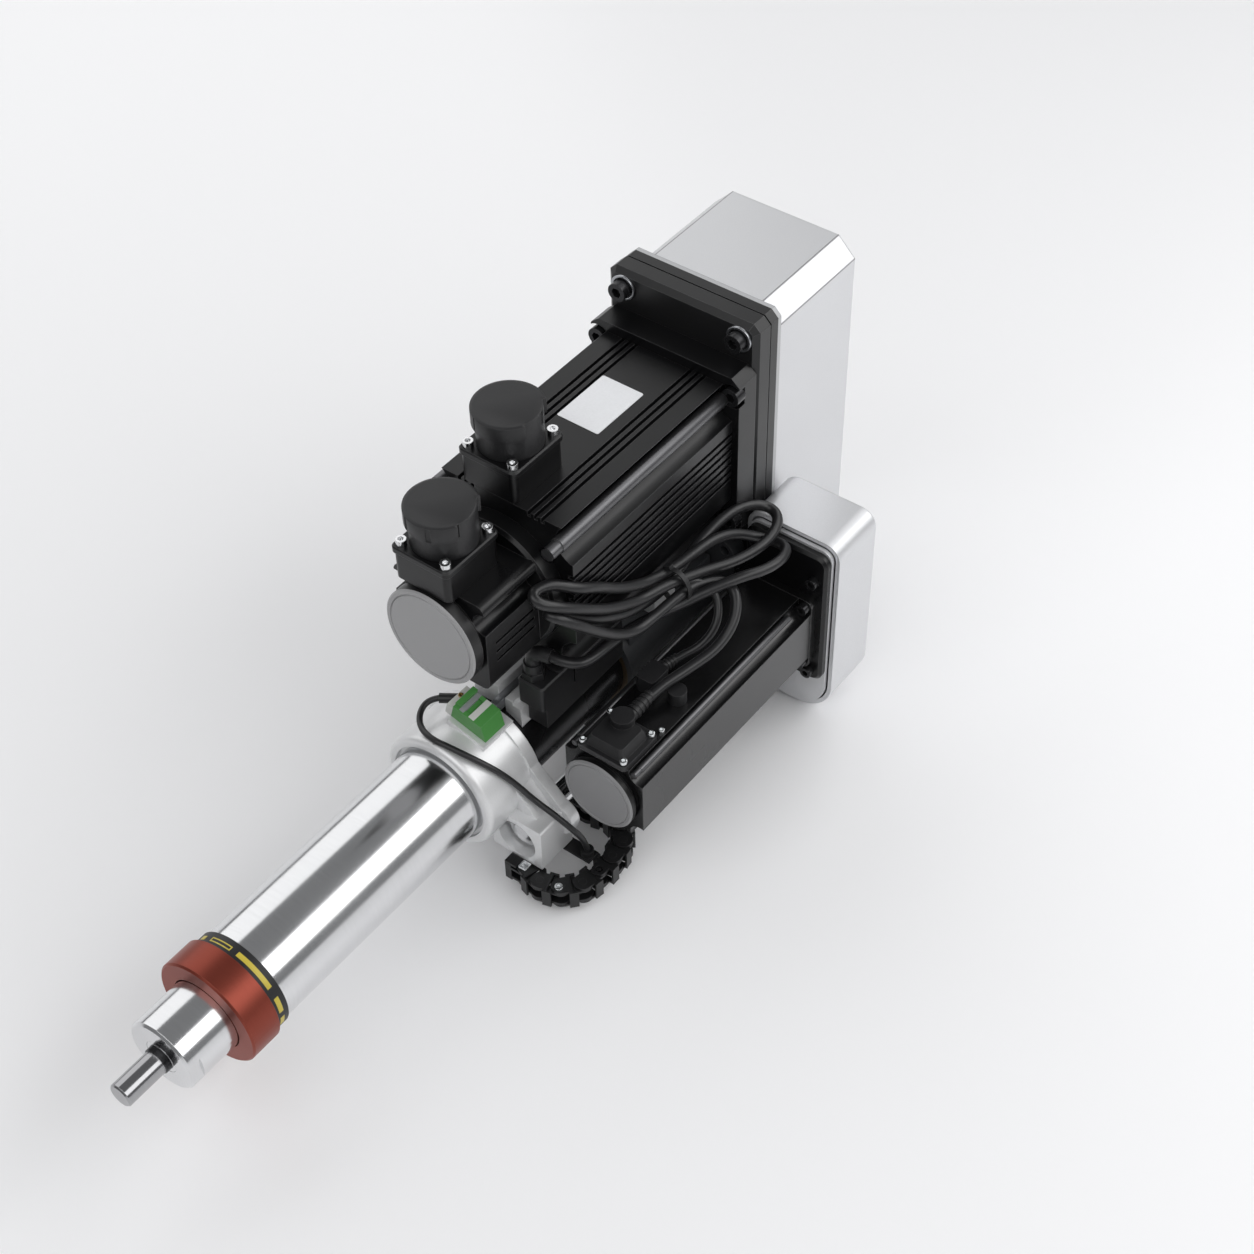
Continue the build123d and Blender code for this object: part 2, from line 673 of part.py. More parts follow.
def make_motor_flange():
    outline = Pos(0, motor_z) * Rectangle(flange_width, flange_height)
    outline = outline & disc(flange_corner, 0, motor_z)
    flange = slab_y(outline, flange_front + seat_gap, plate_front)
    pilot = rod_y(motor_pilot - 2 * seat_gap, plate_front - 1, plate_front + 7, 0, motor_z)
    flange = flange + pilot
    flange = flange - rod_y(motor_shaft_diameter + 1, flange_front - 1, plate_front + 8, 0, motor_z)
    for x, z in motor_screw_places():
        flange = flange - screw_hole_y(main_screw, x, z, flange_front - 1, plate_front + 1)
        flange = flange - rod_y(main_screw * 2.2, flange_front - 1, flange_front + 6, x, z)
    save("motor_flange", flange)


def make_motor_rear():
    bell = rod_y(bell_diameter, bell_rear, motor_rear - seat_gap, 0, motor_z)
    bell = chamfer(front_edges(bell), 2)
    box_half = encoder_box / 2
    neck = rounded(-box_half, box_half, motor_z - box_half, motor_z + box_half, 6)
    neck = slab_y(neck, encoder_rear, bell_rear + 1)
    for sx in (-1, 1):
        channel = rod_y(16.0, encoder_rear - 1, bell_rear, sx * (box_half - 1), motor_z + box_half - 14)
        neck = neck - channel
    bell = bell + neck
    for side in (-1, 1):
        for index in range(3):
            z = motor_z - 14 + index * 7
            bell = bell - block(side * box_half - 2, side * box_half + 2, encoder_rear + 8, bell_rear - 4,
                                z - 1, z + 1)
    save("motor_end_bell", bell)
    front = encoder_rear - 11.0
    points = [
        (0, encoder_rear), (31.0, encoder_rear), (31.0, front + encoder_cap_width),
        (encoder_cap_diameter / 2 - 0.8, front + encoder_cap_width),
        (encoder_cap_diameter / 2, front + encoder_cap_width - 0.8),
        (encoder_cap_diameter / 2, front + 1), (encoder_cap_diameter / 2 - 1, front),
        (encoder_cap_diameter / 2 - 3, front), (encoder_cap_diameter / 2 - 3.6, front + 0.8),
        (encoder_cap_diameter / 2 - 4.2, front), (0, front),
    ]
    save("encoder_cap", turned_y(points, 0, motor_z))


def socket_base(x, y_centre, z_seat):
    """Square connector housing with a collar for the round cap."""
    half_x = socket_width / 2
    half_y = socket_length / 2
    top = z_seat + socket_height
    base = block(x - half_x, x + half_x, y_centre - half_y, y_centre + half_y, z_seat + seat_gap, top - 4)
    base = fillet(base.edges().filter_by(Axis.Z), 4)
    lid = block(x - half_x - 1, x + half_x + 1, y_centre - half_y - 1, y_centre + half_y + 1, top - 4, top)
    lid = fillet(lid.edges().filter_by(Axis.Z), 4)
    lid = chamfer(lid.faces().sort_by(Axis.Z)[-1].edges(), 0.8)
    return base + lid


def socket_screw_places(x, y_centre):
    half_x = socket_width / 2 - 4
    half_y = socket_length / 2 - 4
    return [(x + sx * half_x, y_centre + sy * half_y) for sx in (-1, 1) for sy in (-1, 1)]


def socket_cap(x, y_centre, z_seat):
    """Round plastic dust cap with a grip rim."""
    radius = socket_cap_diameter / 2
    foot = z_seat + socket_height + seat_gap
    cap = Pos(x, y_centre, foot + socket_cap_height / 2) * Cylinder(radius - 2, socket_cap_height)
    rim_height = socket_cap_height * 0.45
    rim_middle = foot + socket_cap_height - rim_height / 2
    rim = Pos(x, y_centre, rim_middle) * Cylinder(radius, rim_height)
    cap = cap + rim
    cap = chamfer(cap.faces().sort_by(Axis.Z)[-1].edges(), 1.2)
    for index in range(12):
        notch = Pos(x, y_centre, foot + socket_cap_height - rim_height)
        notch = notch * Rot(0, 0, 30 * index) * Pos(radius + 0.4, 0, 0)
        cap = cap - notch * Box(2, 3, 6)
    return cap


power_socket_y = -95.5
power_seat_z = motor_z + motor_height / 2
encoder_socket_y = encoder_rear + socket_length / 2 - 8.0
encoder_seat_z = motor_z + encoder_box / 2
socket_places = [(power_socket_x, power_socket_y, power_seat_z),
                 (encoder_socket_x, encoder_socket_y, encoder_seat_z)]


def make_sockets():
    bases = [socket_base(*place) for place in socket_places]
    save("motor_sockets", Compound(children=bases))
    caps = [socket_cap(*place) for place in socket_places]
    save("socket_caps", Compound(children=caps))


# Feed drive

def feed_outline(grow):
    """Outline of the feed belt housing: an upright box with a round tongue over the feed screw."""
    left = feed_housing_left - grow
    right = feed_housing_right + grow
    middle = (feed_housing_bottom + feed_housing_top) / 2
    box = rounded(left, right, feed_housing_bottom - grow, middle + 20, feed_bottom_corner + grow)
    box = box + rounded(left, right, middle - 20, feed_housing_top + grow, feed_top_corner + grow)
    dx = feed_motor_x - feed_axis_x
    dz = feed_motor_z - feed_axis_z
    angle = math.degrees(math.atan2(dz, dx))
    radius = feed_tongue_radius + grow
    length = math.hypot(dx, dz)
    strip = Pos(feed_axis_x + dx / 2, feed_axis_z + dz / 2) * Rot(0, 0, angle) * Rectangle(length, 2 * radius)
    return box, disc(2 * radius, feed_axis_x, feed_axis_z) + strip


def make_feed_housing():
    box, tongue = feed_outline(0.0)
    wall = feed_housing_wall
    shell = slab_y(box, feed_plate_rear, feed_housing_rear)
    shell = fillet(shell.faces().sort_by(Axis.Y)[-1].edges(), 2.0)
    tongue_rear = plate_rear - 2.8
    shell = shell + slab_y(tongue, feed_plate_rear, tongue_rear)
    inner_box, inner_tongue = feed_outline(-wall)
    shell = shell - slab_y(inner_box, feed_plate_rear - 1, feed_housing_rear - wall)
    shell = shell - slab_y(inner_tongue, feed_plate_rear - 1, tongue_rear - wall + 1)
    save("feed_housing", shell)


def make_feed_plate():
    """Black mounting plate of the feed motor, and the cover that closes the belt housing behind it."""
    box, tongue = feed_outline(-4.0)
    cover_front = feed_plate_rear - feed_cover_thickness
    upper = rounded(feed_housing_left + 4, feed_housing_right - 4, 38, feed_housing_top - 6, 8)
    plate = slab_y(upper, feed_plate_front, cover_front - seat_gap)
    plate = chamfer(front_edges(plate), 2.0)
    plate = plate + slab_y(tongue, feed_plate_front, cover_front - seat_gap)
    plate = plate - rod_y(50.2, feed_plate_front - 1, feed_plate_front + 3.2, feed_motor_x, feed_motor_z)
    cover = slab_y(box + tongue, cover_front, feed_plate_rear)
    for name, piece in (("feed_plate", plate), ("feed_cover", cover)):
        piece = piece - rod_y(20.0, feed_plate_front, feed_plate_rear + 1, feed_motor_x, feed_motor_z)
        piece = piece - rod_y(10.0, feed_plate_front - 1, feed_plate_rear + 1, feed_axis_x, feed_axis_z)
        for x, z in feed_motor_screw_places() + feed_plate_screw_places():
            piece = piece - screw_hole_y(5.0, x, z, feed_plate_front - 1, feed_plate_rear + 1)
        save(name, piece)


def feed_motor_screw_places():
    pitch = 70.0 / math.sqrt(2)
    return corner_places(pitch, pitch, feed_motor_x, feed_motor_z)


def feed_plate_screw_places():
    return [(feed_housing_right - 13, 47.0), (feed_housing_right - 13, feed_housing_top - 27),
            (feed_housing_left + 14, feed_housing_top - 16)]


def make_feed_motor():
    half = feed_motor_size / 2
    x = feed_motor_x
    z = feed_motor_z
    rear = feed_motor_rear
    flange = slab_y(rounded(x - half, x + half, z - half, z + half, 5), feed_motor_front - 6, feed_motor_front)
    core = half - 0.5
    body = slab_y(rounded(x - core, x + core, z - core, z + core, 3), rear, feed_motor_front - 6)
    for sx in (-1, 1):
        for sz in (-1, 1):
            corner = Pos(x + sx * (half - 3.0), (rear + feed_motor_front) / 2 - 3, z + sz * (half - 3.0))
            body = body - corner * Rot(90, 0, 0) * Cylinder(7.5, feed_motor_length - 6 + 0.2)
    body = body + flange
    body = body + rod_y(50.0 - 2 * seat_gap, feed_motor_front - 1, feed_motor_front + 3, x, z)
    body = body - rod_y(feed_shaft_diameter + 1, feed_motor_front - 24, feed_motor_front + 4, x, z)
    for hole_x, hole_z in feed_motor_screw_places():
        body = body - screw_hole_y(5.0, hole_x, hole_z, feed_motor_front - 8, feed_motor_front + 1)
    save("feed_motor", body)
    front = rear - feed_cap_width
    radius = feed_cap_diameter / 2
    points = [
        (0, rear - seat_gap), (radius - 2, rear - seat_gap), (radius - 2, rear - 2), (radius, rear - 2.6),
        (radius, front + 1), (radius - 1, front), (radius - 2.6, front), (radius - 3.1, front + 0.7),
        (radius - 3.6, front), (0, front),
    ]
    save("feed_encoder_cap", turned_y(points, x, z))


feed_top = feed_motor_z + feed_motor_size / 2 - 0.5


lead_start_y = feed_motor_rear + 33.6
lead_z = feed_top + 8.0
plug_z = feed_top + 6.0
plug_end_y = feed_motor_rear + 75.6
lead_x = feed_motor_x - 2.2
plug_x = feed_motor_x - 11.2


def make_feed_connectors():
    """Power connector plate with its cable boss, and the ribbed signal plug behind it."""
    z = feed_top + seat_gap
    middle_y = feed_motor_rear + 13.6
    base = block(feed_motor_x - 18.2, feed_motor_x + 18.8, middle_y - 17, middle_y + 17, z, z + 4)
    base = fillet(base.edges().filter_by(Axis.Z), 3)
    lid = loft([Plane.XY.offset(z + 4) * Pos(feed_motor_x, middle_y) * RectangleRounded(30, 28, 3),
                Plane.XY.offset(z + 10) * Pos(feed_motor_x, middle_y) * RectangleRounded(24, 22, 3)])
    boss = Pos(lead_x, middle_y + 9, z + 9) * Cylinder(7.5, 12)
    outlet = rod_y(feed_cable + 2.5, middle_y + 9, lead_start_y, lead_x, lead_z)
    save("feed_connector", base + lid + boss + outlet)
    plug = block(plug_x - 7, plug_x + 7, plug_end_y - 20, plug_end_y - 2, z, z + 12)
    plug = fillet(plug.edges().filter_by(Axis.Z), 3)
    for index in range(4):
        rib_y = plug_end_y - 18 + 4 * index
        plug = plug - block(plug_x - 8, plug_x - 6, rib_y, rib_y + 2, z + 2, z + 13)
    post = Pos(plug_x + 20, plug_end_y - 12, z + 4.5) * Cylinder(6, 9)
    plug = plug + rod_y(signal_cable + 2.5, plug_end_y - 4, plug_end_y, plug_x, plug_z)
    save("feed_signal_plug", Compound(children=[plug, post]))


def make_feed_transmission():
    radius = pulley_radius(feed_teeth, feed_belt_pitch)
    y_from = feed_plate_rear + 5.0
    width = feed_belt_width + 3
    motor_pulley = toothed_pulley(feed_teeth, feed_belt_pitch, width, y_from, feed_motor_x, feed_motor_z)
    shaft = rod_y(feed_shaft_diameter, feed_motor_front - 20, y_from + width + 3, feed_motor_x, feed_motor_z)
    save("feed_motor_pulley", motor_pulley + shaft)
    journal = rod_y(8.0, feed_plate_front - 14, y_from + width + 2, feed_axis_x, feed_axis_z)
    screw = rod_y(screw_diameter, body_front + 8, feed_plate_front - 12, feed_axis_x, feed_axis_z)
    save("ball_screw", screw + journal)
    screw_pulley = toothed_pulley(feed_teeth, feed_belt_pitch, width, y_from, feed_axis_x, feed_axis_z)
    journal_room = rod_y(8.0 + 2 * seat_gap, y_from - 3, y_from + width + 3, feed_axis_x, feed_axis_z)
    screw_pulley = screw_pulley - journal_room
    save("screw_pulley", screw_pulley)
    belt = belt_loop(radius - 0.4, (feed_axis_x, feed_axis_z), radius - 0.4, (feed_motor_x, feed_motor_z),
                     feed_belt_thickness - 1.3, y_from + 1.0, y_from + width - 1.0)
    save("feed_belt", belt)


# Home sensor on the feed head

sensor_seat = head_diameter / 2 + 1.3
sensor_exit = (-19.0, -167.2, spindle_height + 49.0)


def make_sensor():
    """Sensor block along the ring's tangent, with a slanted end, a rib and its cable boot."""
    rear = head_rear - head_flange + 2.2
    front = rear - sensor_depth
    low = sensor_seat + seat_gap
    high = sensor_seat + sensor_rise
    right = sensor_left + sensor_length
    outline = Polyline((sensor_left, low), (right, low), (right - sensor_slant, high), (sensor_left, high),
                       close=True)
    body = slab_y(make_face(outline), front, rear)
    body = body - block(sensor_left - 1, sensor_left + 4.5, front - 1, rear + 1, high - 2.0, high + 1)
    body = body + block(sensor_left + 4.5, sensor_left + 8.5, front + 2, rear, high - 1, high + 2.5)
    body = body - block(sensor_left + 12, sensor_left + 16, front + 3, rear - 3, high - 1.5, high + 1)
    body = Pos(0, 0, spindle_height) * Rot(0, sensor_tilt, 0) * body
    boot = Plane(origin=sensor_exit, z_dir=(6, 4.2, 0)) * Circle(sensor_cable / 2 + 1.2)
    save("home_sensor", body + extrude(boot, 14))


# Drag chain

def chain_link(front_lug, rear_pin):
    """One link, drawn from its rear pivot at the origin to its front pivot one pitch along +X."""
    low = chain_bottom
    high = chain_bottom + chain_height
    half_web = chain_width / 2
    lug = chain_lug / 2
    link = None
    for face, step in ((low, 1), (high, -1)):
        outer = sorted((face, face + step * chain_plate))
        inner = sorted((face + step * chain_plate, face + step * 2 * chain_plate))
        mid_front = Pos(chain_pitch / 2 + 1.65, 0) * Rectangle(2.7, chain_width)
        mid_rear = Pos(chain_pitch / 2 - 1.65, 0) * Rectangle(2.7, chain_width)
        front = Pos(chain_pitch, 0) * Circle(front_lug / 2)
        neck = Pos(chain_pitch * 0.75 + 0.3, 0) * Rectangle(chain_pitch / 2 - 0.6, front_lug)
        front = front + neck + mid_front
        front = front - Pos(chain_pitch, 0) * Circle(chain_pin / 2 + running_gap)
        neck = Pos(chain_pitch * 0.25 - 0.3, 0) * Rectangle(chain_pitch / 2 - 0.6, chain_lug)
        rear = Circle(lug) + neck + mid_rear
        piece = slab_z(front, *outer) + slab_z(rear, *inner) + slab_z(Circle(rear_pin / 2), *outer)
        link = piece if link is None else link + piece
    for side in (-1, 1):
        web = Pos(chain_pitch / 2, side * (half_web - 0.7)) * Rectangle(6.0, 1.4)
        link = link + slab_z(web, low, high)
    return link


def chain_rest():
    """Pivot places and headings of the root half of the chain, from its fixed end."""
    drop = chain_pitch * sum(math.sin(math.radians(angle)) for angle in chain_half_angles) + chain_pitch / 2
    x = chain_x
    y = chain_mid_y + drop
    places = []
    for angle in chain_half_angles + [90.0]:
        places.append((x, y, -angle))
        x = x + chain_pitch * math.cos(math.radians(angle))
        y = y - chain_pitch * math.sin(math.radians(angle))
    return places


def make_chain():
    count = 2 * len(chain_half_angles) + 1
    half = chain_rest()
    for index, (x, y, heading) in enumerate(half):
        last = index == len(half) - 1
        front_lug = chain_lug - 2 * chain_open_gap if last else chain_lug
        link = chain_link(front_lug, chain_pin)
        save("chain_link_%d" % (index + 1), Pos(x, y, 0) * Rot(0, 0, heading) * link)
    for index, (x, y, heading) in enumerate(half[:-1]):
        link = mirror(chain_link_carriage(index == len(half) - 2), Plane.XZ)
        place = Pos(x, 2 * chain_mid_y - y, 0) * Rot(0, 0, -heading)
        save("chain_link_%d" % (count - index), place * link)


def chain_link_carriage(beside_open_pivot):
    """A link of the carriage half, from its pivot towards the carriage at the origin."""
    low = chain_bottom
    high = chain_bottom + chain_height
    half_web = chain_width / 2
    far_lug = chain_lug - 2 * chain_open_gap if beside_open_pivot else chain_lug
    far_pin = chain_pin - 2 * chain_open_gap if beside_open_pivot else chain_pin
    link = None
    for face, step in ((low, 1), (high, -1)):
        outer = sorted((face, face + step * chain_plate))
        inner = sorted((face + step * chain_plate, face + step * 2 * chain_plate))
        mid_near = Pos(chain_pitch / 2 - 1.65, 0) * Rectangle(2.7, chain_width)
        mid_far = Pos(chain_pitch / 2 + 1.65, 0) * Rectangle(2.7, chain_width)
        near = Circle(chain_lug / 2) + mid_near
        near = near + Pos(chain_pitch * 0.25 - 0.3, 0) * Rectangle(chain_pitch / 2 - 0.6, chain_lug)
        near = near - Circle(chain_pin / 2 + running_gap)
        far = Pos(chain_pitch, 0) * Circle(far_lug / 2) + mid_far
        far = far + Pos(chain_pitch * 0.75 + 0.3, 0) * Rectangle(chain_pitch / 2 - 0.6, far_lug)
        pin = slab_z(Pos(chain_pitch, 0) * Circle(far_pin / 2), *outer)
        piece = slab_z(near, *outer) + slab_z(far, *inner) + pin
        link = piece if link is None else link + piece
    for side in (-1, 1):
        web = Pos(chain_pitch / 2, side * (half_web - 0.7)) * Rectangle(6.0, 1.4)
        link = link + slab_z(web, low, high)
    return link


def chain_end(pivot_x, pivot_y, hole):
    """Two end lugs, drawn towards -X from the pivot, with a web that joins them."""
    low = chain_bottom
    high = chain_bottom + chain_height
    end = None
    for face, step in ((low, 1), (high, -1)):
        outer = sorted((face, face + step * chain_plate))
        inner = sorted((face + step * chain_plate, face + step * 2 * chain_plate))
        arm = Pos(-5.5, 0) * Rectangle(11, chain_lug)
        if hole:
            piece = slab_z(Circle(chain_lug / 2) + arm - Circle(chain_pin / 2 + running_gap), *outer)
        else:
            piece = slab_z(Circle(chain_lug / 2) + arm, *inner) + slab_z(Circle(chain_pin / 2), *outer)
        end = piece if end is None else end + piece
    end = end + slab_z(Pos(-10.5, 0) * Rectangle(5, chain_lug), low, high)
    return Pos(pivot_x, pivot_y, 0) * end


def make_chain_ends():
    x, fixed_y, _ = chain_rest()[0]
    moving_y = 2 * chain_mid_y - fixed_y
    fixed = chain_end(x, fixed_y, True)
    fixed = fixed + block(x - 17, x - 8, fixed_y - chain_lug / 2, body_front - seat_gap,
                          chain_bottom, chain_bottom + chain_height)
    save("chain_arm", fixed)
    moving = chain_end(x, moving_y, False)
    block_low = feed_axis_z - block_height / 2 + 1.0
    moving = moving + block(x - 13, x - 8, moving_y - 6, moving_y + 14, chain_bottom, block_low - seat_gap)
    plate_low = chain_bottom + chain_height + 0.5
    moving = moving + block(x - 13, x - 4, moving_y - 6, clamp_y + 5, plate_low, block_low - seat_gap)
    moving = moving + block(x - 13, clamp_x + 5, clamp_y - 5, clamp_y + 5, plate_low, block_low - seat_gap)
    moving = moving + Pos(clamp_x, clamp_y, clamp_z - 3) * Cylinder(4.2, 6)
    save("chain_foot", moving)


clamp_x = 80.0
clamp_y = -151.0
clamp_z = 28.0


# Fasteners

def make_fasteners():
    screws = [cap_screw_y(main_screw, x, z, flange_front + 6, 24) for x, z in motor_screw_places()]
    screws = screws + [cap_screw_y(main_screw, x, z, plate_front, 18) for x, z in plate_screw_places()]
    screws = screws + [cap_screw_z(6.0, x, y, bridge_top, 13) for x, y in bridge_screws]
    save("cap_screws", Compound(children=screws))
    small = [cap_screw_y(5.0, x, z, feed_motor_front - 6, 12) for x, z in feed_motor_screw_places()]
    small = small + [cap_screw_y(5.0, x, z, feed_plate_front, 6) for x, z in feed_plate_screw_places()]
    save("feed_screws", Compound(children=small))
    bright = []
    for middle_x, middle_y, seat in socket_places:
        for x, y in socket_screw_places(middle_x, middle_y):
            bright.append(socket_screw(x, y, seat + socket_height))
    save("socket_screws", Compound(children=bright))


def socket_screw(x, y, seat_z):
    """Bright cap screw head that stands on a lid."""
    head = Pos(x, y, seat_z + 2 + seat_gap) * Cylinder(3.3, 4)
    return head - Pos(x, y, seat_z + 4) * extrude(RegularPolygon(1.8, 6), 1.6, both=True)


# Cables

def cable(points, diameter):
    """Round cable: straight runs joined by arcs as large as the runs allow."""
    vectors = [Vector(*point) for point in points]
    radii = []
    for before, here, after in zip(vectors, vectors[1:], vectors[2:]):
        run_in = here - before
        run_out = after - here
        turn = math.radians(run_in.get_angle(run_out))
        radii.append(0.45 * min(run_in.length, run_out.length) / math.tan(turn / 2))
    path = FilletPolyline(*points, radius=radii)
    start = Plane(origin=path @ 0, z_dir=path % 0)
    tube = sweep(start * Circle(diameter / 2), path=path)
    ratio = tube.volume / (math.pi * diameter ** 2 / 4 * path.length)
    print("cable radii", [round(radius, 1) for radius in radii], "length", round(path.length, 1),
          "volume ratio", round(ratio, 4))
    return tube


def make_cables():
    lead = [(lead_x, lead_start_y, lead_z), (88, -88, lead_z + 4), (95, -66, lead_z + 7),
            (102, -43, lead_z + 11), (103, -25, lead_z + 22), (95, -13, lead_z + 33), (83, -9, hank_low + 3)]
    save("feed_lead", cable(lead, feed_cable))
    signal = [(plug_x, plug_end_y, plug_z), (80, -54, plug_z + 1), (89, -42, plug_z + 6),
              (93, -30, plug_z + 18), (87, -22, plug_z + 31), (79, -20, hank_low + 3)]
    save("signal_lead", cable(signal, signal_cable))
    tail = [(elbow_end_x, elbow_end_y, elbow_z), (58, -120, elbow_z - 1), (64, -88, elbow_z - 3),
            (66, -56, hank_low + 1.5)]
    save("feed_tail", cable(tail, feed_cable))
    over = [(-6, -194), (10, -189), (24, -182), (35, -175), (43, -169)]
    climb = [(x, y, spindle_height + math.sqrt(45.7 ** 2 - x * x)) for x, y in over]
    sensor = [sensor_exit, (-27.5, -173.1, 117.5), (-28.4, -183.5, 114.5), (-21, -190.9, 113.0)] + climb
    sensor = sensor + [(50, -165, 69), (65, -163, 62.6), (75, -160, 54), (clamp_x, -154, 41),
                       (clamp_x, clamp_y, clamp_z)]
    save("sensor_lead", cable(sensor, sensor_cable))


hank_low = feed_housing_top + 0.4
hank_thickness = 12.0


def make_hank():
    """Outer shape of the tied cable loops: a flat lobe on the belt housing and one along the motor."""
    rear_lobe = make_hull((disc(18, 66, -36) + disc(26, 72, 45) + disc(26, 92, 20)).edges())
    rear_lobe = slab_z(rear_lobe, hank_low, hank_low + hank_thickness)
    side = Plane.YZ.offset(56.5)
    discs = disc(16, -36, hank_low + 6) + disc(18, -84, hank_low + 11) + disc(24, -104, hank_low + 34)
    discs = discs + disc(20, -138, hank_low + 58)
    front_lobe = extrude(side * make_hull(discs.edges()), hank_thickness)
    save("cable_hank", rear_lobe + front_lobe)


def build_all():
    make_quill()
    make_spindle()
    make_spindle_bearings()
    make_feed_head()
    make_thrust_rod()
    make_guide_tube()
    make_guide_key()
    make_main_body()
    make_guide_bridge()
    make_terminal_box()
    make_drive_plate()
    make_drive_housing()
    make_spindle_drive()
    make_motor_body()
    make_motor_flange()
    make_motor_rear()
    make_sockets()
    make_feed_housing()
    make_feed_plate()
    make_feed_motor()
    make_feed_connectors()
    make_feed_transmission()
    make_sensor()
    make_chain()
    make_chain_ends()
    make_fasteners()
    make_cables()
    make_hank()


build_all()
os.makedirs("parts", exist_ok=True)
for name, shape in parts.items():
    export_step(shape, "parts/" + name + ".step")
print(len(parts), "nodes written")
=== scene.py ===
import bpy
import json
import math
from mathutils import Matrix, Vector


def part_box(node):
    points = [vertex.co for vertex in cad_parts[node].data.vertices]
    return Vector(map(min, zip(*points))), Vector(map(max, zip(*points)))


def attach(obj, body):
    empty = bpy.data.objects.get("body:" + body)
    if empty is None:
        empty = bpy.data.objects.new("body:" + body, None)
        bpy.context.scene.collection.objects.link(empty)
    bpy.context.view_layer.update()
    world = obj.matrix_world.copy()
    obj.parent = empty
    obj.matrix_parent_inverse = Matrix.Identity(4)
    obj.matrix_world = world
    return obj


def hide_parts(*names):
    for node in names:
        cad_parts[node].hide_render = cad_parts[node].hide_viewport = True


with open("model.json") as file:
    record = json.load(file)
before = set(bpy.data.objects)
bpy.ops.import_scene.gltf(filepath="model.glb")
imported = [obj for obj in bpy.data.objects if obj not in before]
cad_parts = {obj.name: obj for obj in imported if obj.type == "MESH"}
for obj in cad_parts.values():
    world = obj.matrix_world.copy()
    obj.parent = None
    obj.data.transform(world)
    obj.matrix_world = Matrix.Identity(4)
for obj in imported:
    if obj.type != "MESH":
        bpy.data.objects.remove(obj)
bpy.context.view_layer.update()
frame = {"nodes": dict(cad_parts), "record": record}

nodes = frame["nodes"]

# Places and sizes of the unit, in metres, with the sensor's tilt in degrees
spindle_z = 0.070
motor_top = 0.259
feed_motor_x = 0.0882
connector_y = -0.128
housing_half_width = 0.054
housing_bevel = 0.013
bare_rim_depth = 0.0032
cap_face_depth = 0.0012
sensor_tilt = 14.9
sensor_left = -0.0218
sensor_length = 0.0325
sensor_shoe = 0.008
sensor_face_depth = 0.0007
sensor_screw_inset = 0.0022
sensor_screw_y = -0.1618
sensor_screw_seat = spindle_z + 0.05195

# Label on the big motor, and how far a thin skin stands off the face under it
label_middle = (-0.004, -0.018)
label_size = (0.0312, 0.046)
label_corner = 0.0012
label_thickness = 0.0003
skin_gap = 0.00002

# Yellow marks on the band, with their angles round the spindle in degrees
mark_offset = 0.0046
mark_width = 0.0032
mark_border = 0.0008
paint_thickness = 0.00012
dashes = [(-44, -36), (-26, 2), (10, 56), (68, 88), (96, 110), (150, 200)]
outlined_dash = (-26, 2)

# Radius, height and key size of each kind of small screw
connector_screw = (0.0024, 0.0024, 0.0013)
cover_screw = (0.0021, 0.0022, 0.0011)
chain_bolt = (0.0028, 0.0014, 0.0013)
sensor_screw = (0.0017, 0.0008, 0.0009)
screw_rim = 0.14

# Places of the small motor's screws
plate_rise = 0.00405
plate_half_width = 0.0153
plate_half_length = 0.0138
plate_shift = 0.0003
cover_screw_sink = 0.0005
left_cover_screw = (0.0125, 0.003)
right_cover_screw = (0.0135, 0.0365)

# Inset, drop, radius and the three stations of the corner rods of both motors
motor_rods = (0.007, 0.010, 0.005, (-0.132, -0.1225, 0.0395))
feed_motor_rods = (0.0076, 0.0039, 0.0024, (-0.1412, -0.1352, 0.0232))
rod_step = 0.14
rod_edge = 0.12

# Rings of the spindle nose; the dark one at the arbor's root is painted shade of the nose's recess
arbor_shade_ring_radii = (0.00805, 0.0087)
arbor_shade_ring_depth = 0.0043
arbor_shade_ring_rise = 0.0042
nose_ring_radii = (0.0083, 0.01147)
nose_ring_depth = 0.001
ring_edge = 0.0002

# Nut of the drag chain
nut_size = (0.0062, 0.0062, 0.0028)
nut_wall = 0.0014
nut_recess = 0.001
nut_gap = 0.0001
nut_edge = 0.0003

# Washers of the drive plate
washer_radius = 0.0071
washer_side = 0.044
washer_drop = 0.012
washer_width = 0.0016
washer_thickness = 0.0018
washer_stand = 0.0009
washer_edge = 0.0002

# Dust caps of the big motor's sockets
barrel_radius = 0.0202
lip_radius = 0.022
cap_height = 0.026
lip_share = 0.6
lip_depth = 0.0021
front_cap_shift = 0.0045
cap_rim = 0.0014
cap_crown = 0.0005
grip_border = 0.0004
grip_depth = 0.0008
cap_edge = 0.0004
lip_gap = (-25, 50)
grip_pitch = 5
grip_every = 9

# Lid of the terminal box
lid_margin = (0.001, 0.018)
lid_shift = 0.008
lid_rise = 0.0007
lid_thickness = 0.0012
lid_corner = 0.0025
lid_border = 0.0022
lid_crown = 0.0006
seam_share = 0.62
seam_size = 0.0008

# Strap round the looped cable
tie_middle = (0.0665, -0.0385, 0.1625)
tie_radius = 0.0109
tie_width = 0.0034
tie_thickness = 0.0009
tie_stretch = 1.2
tie_lock = 0.0022

# Cables: diameters, exits, and in millimetres how far from the spindle's axis the sensor's cable runs
feed_cable_diameter = 0.0070
signal_cable_diameter = 0.0055
sensor_cable_diameter = 0.0040
signal_exit = (0.077, -0.066, 0.1196)
head_path_radius = 45.7

# Strain reliefs: foot, direction, wide and narrow radius, and length
feed_relief = ((0.0858, -0.1080, 0.1216), (2, 20, 4), 0.0052, 0.0041, 0.016)
signal_relief = (signal_exit, (3, 12, 1), 0.0044, 0.0032, 0.012)
relief_ribs = 4
relief_groove = 0.0006

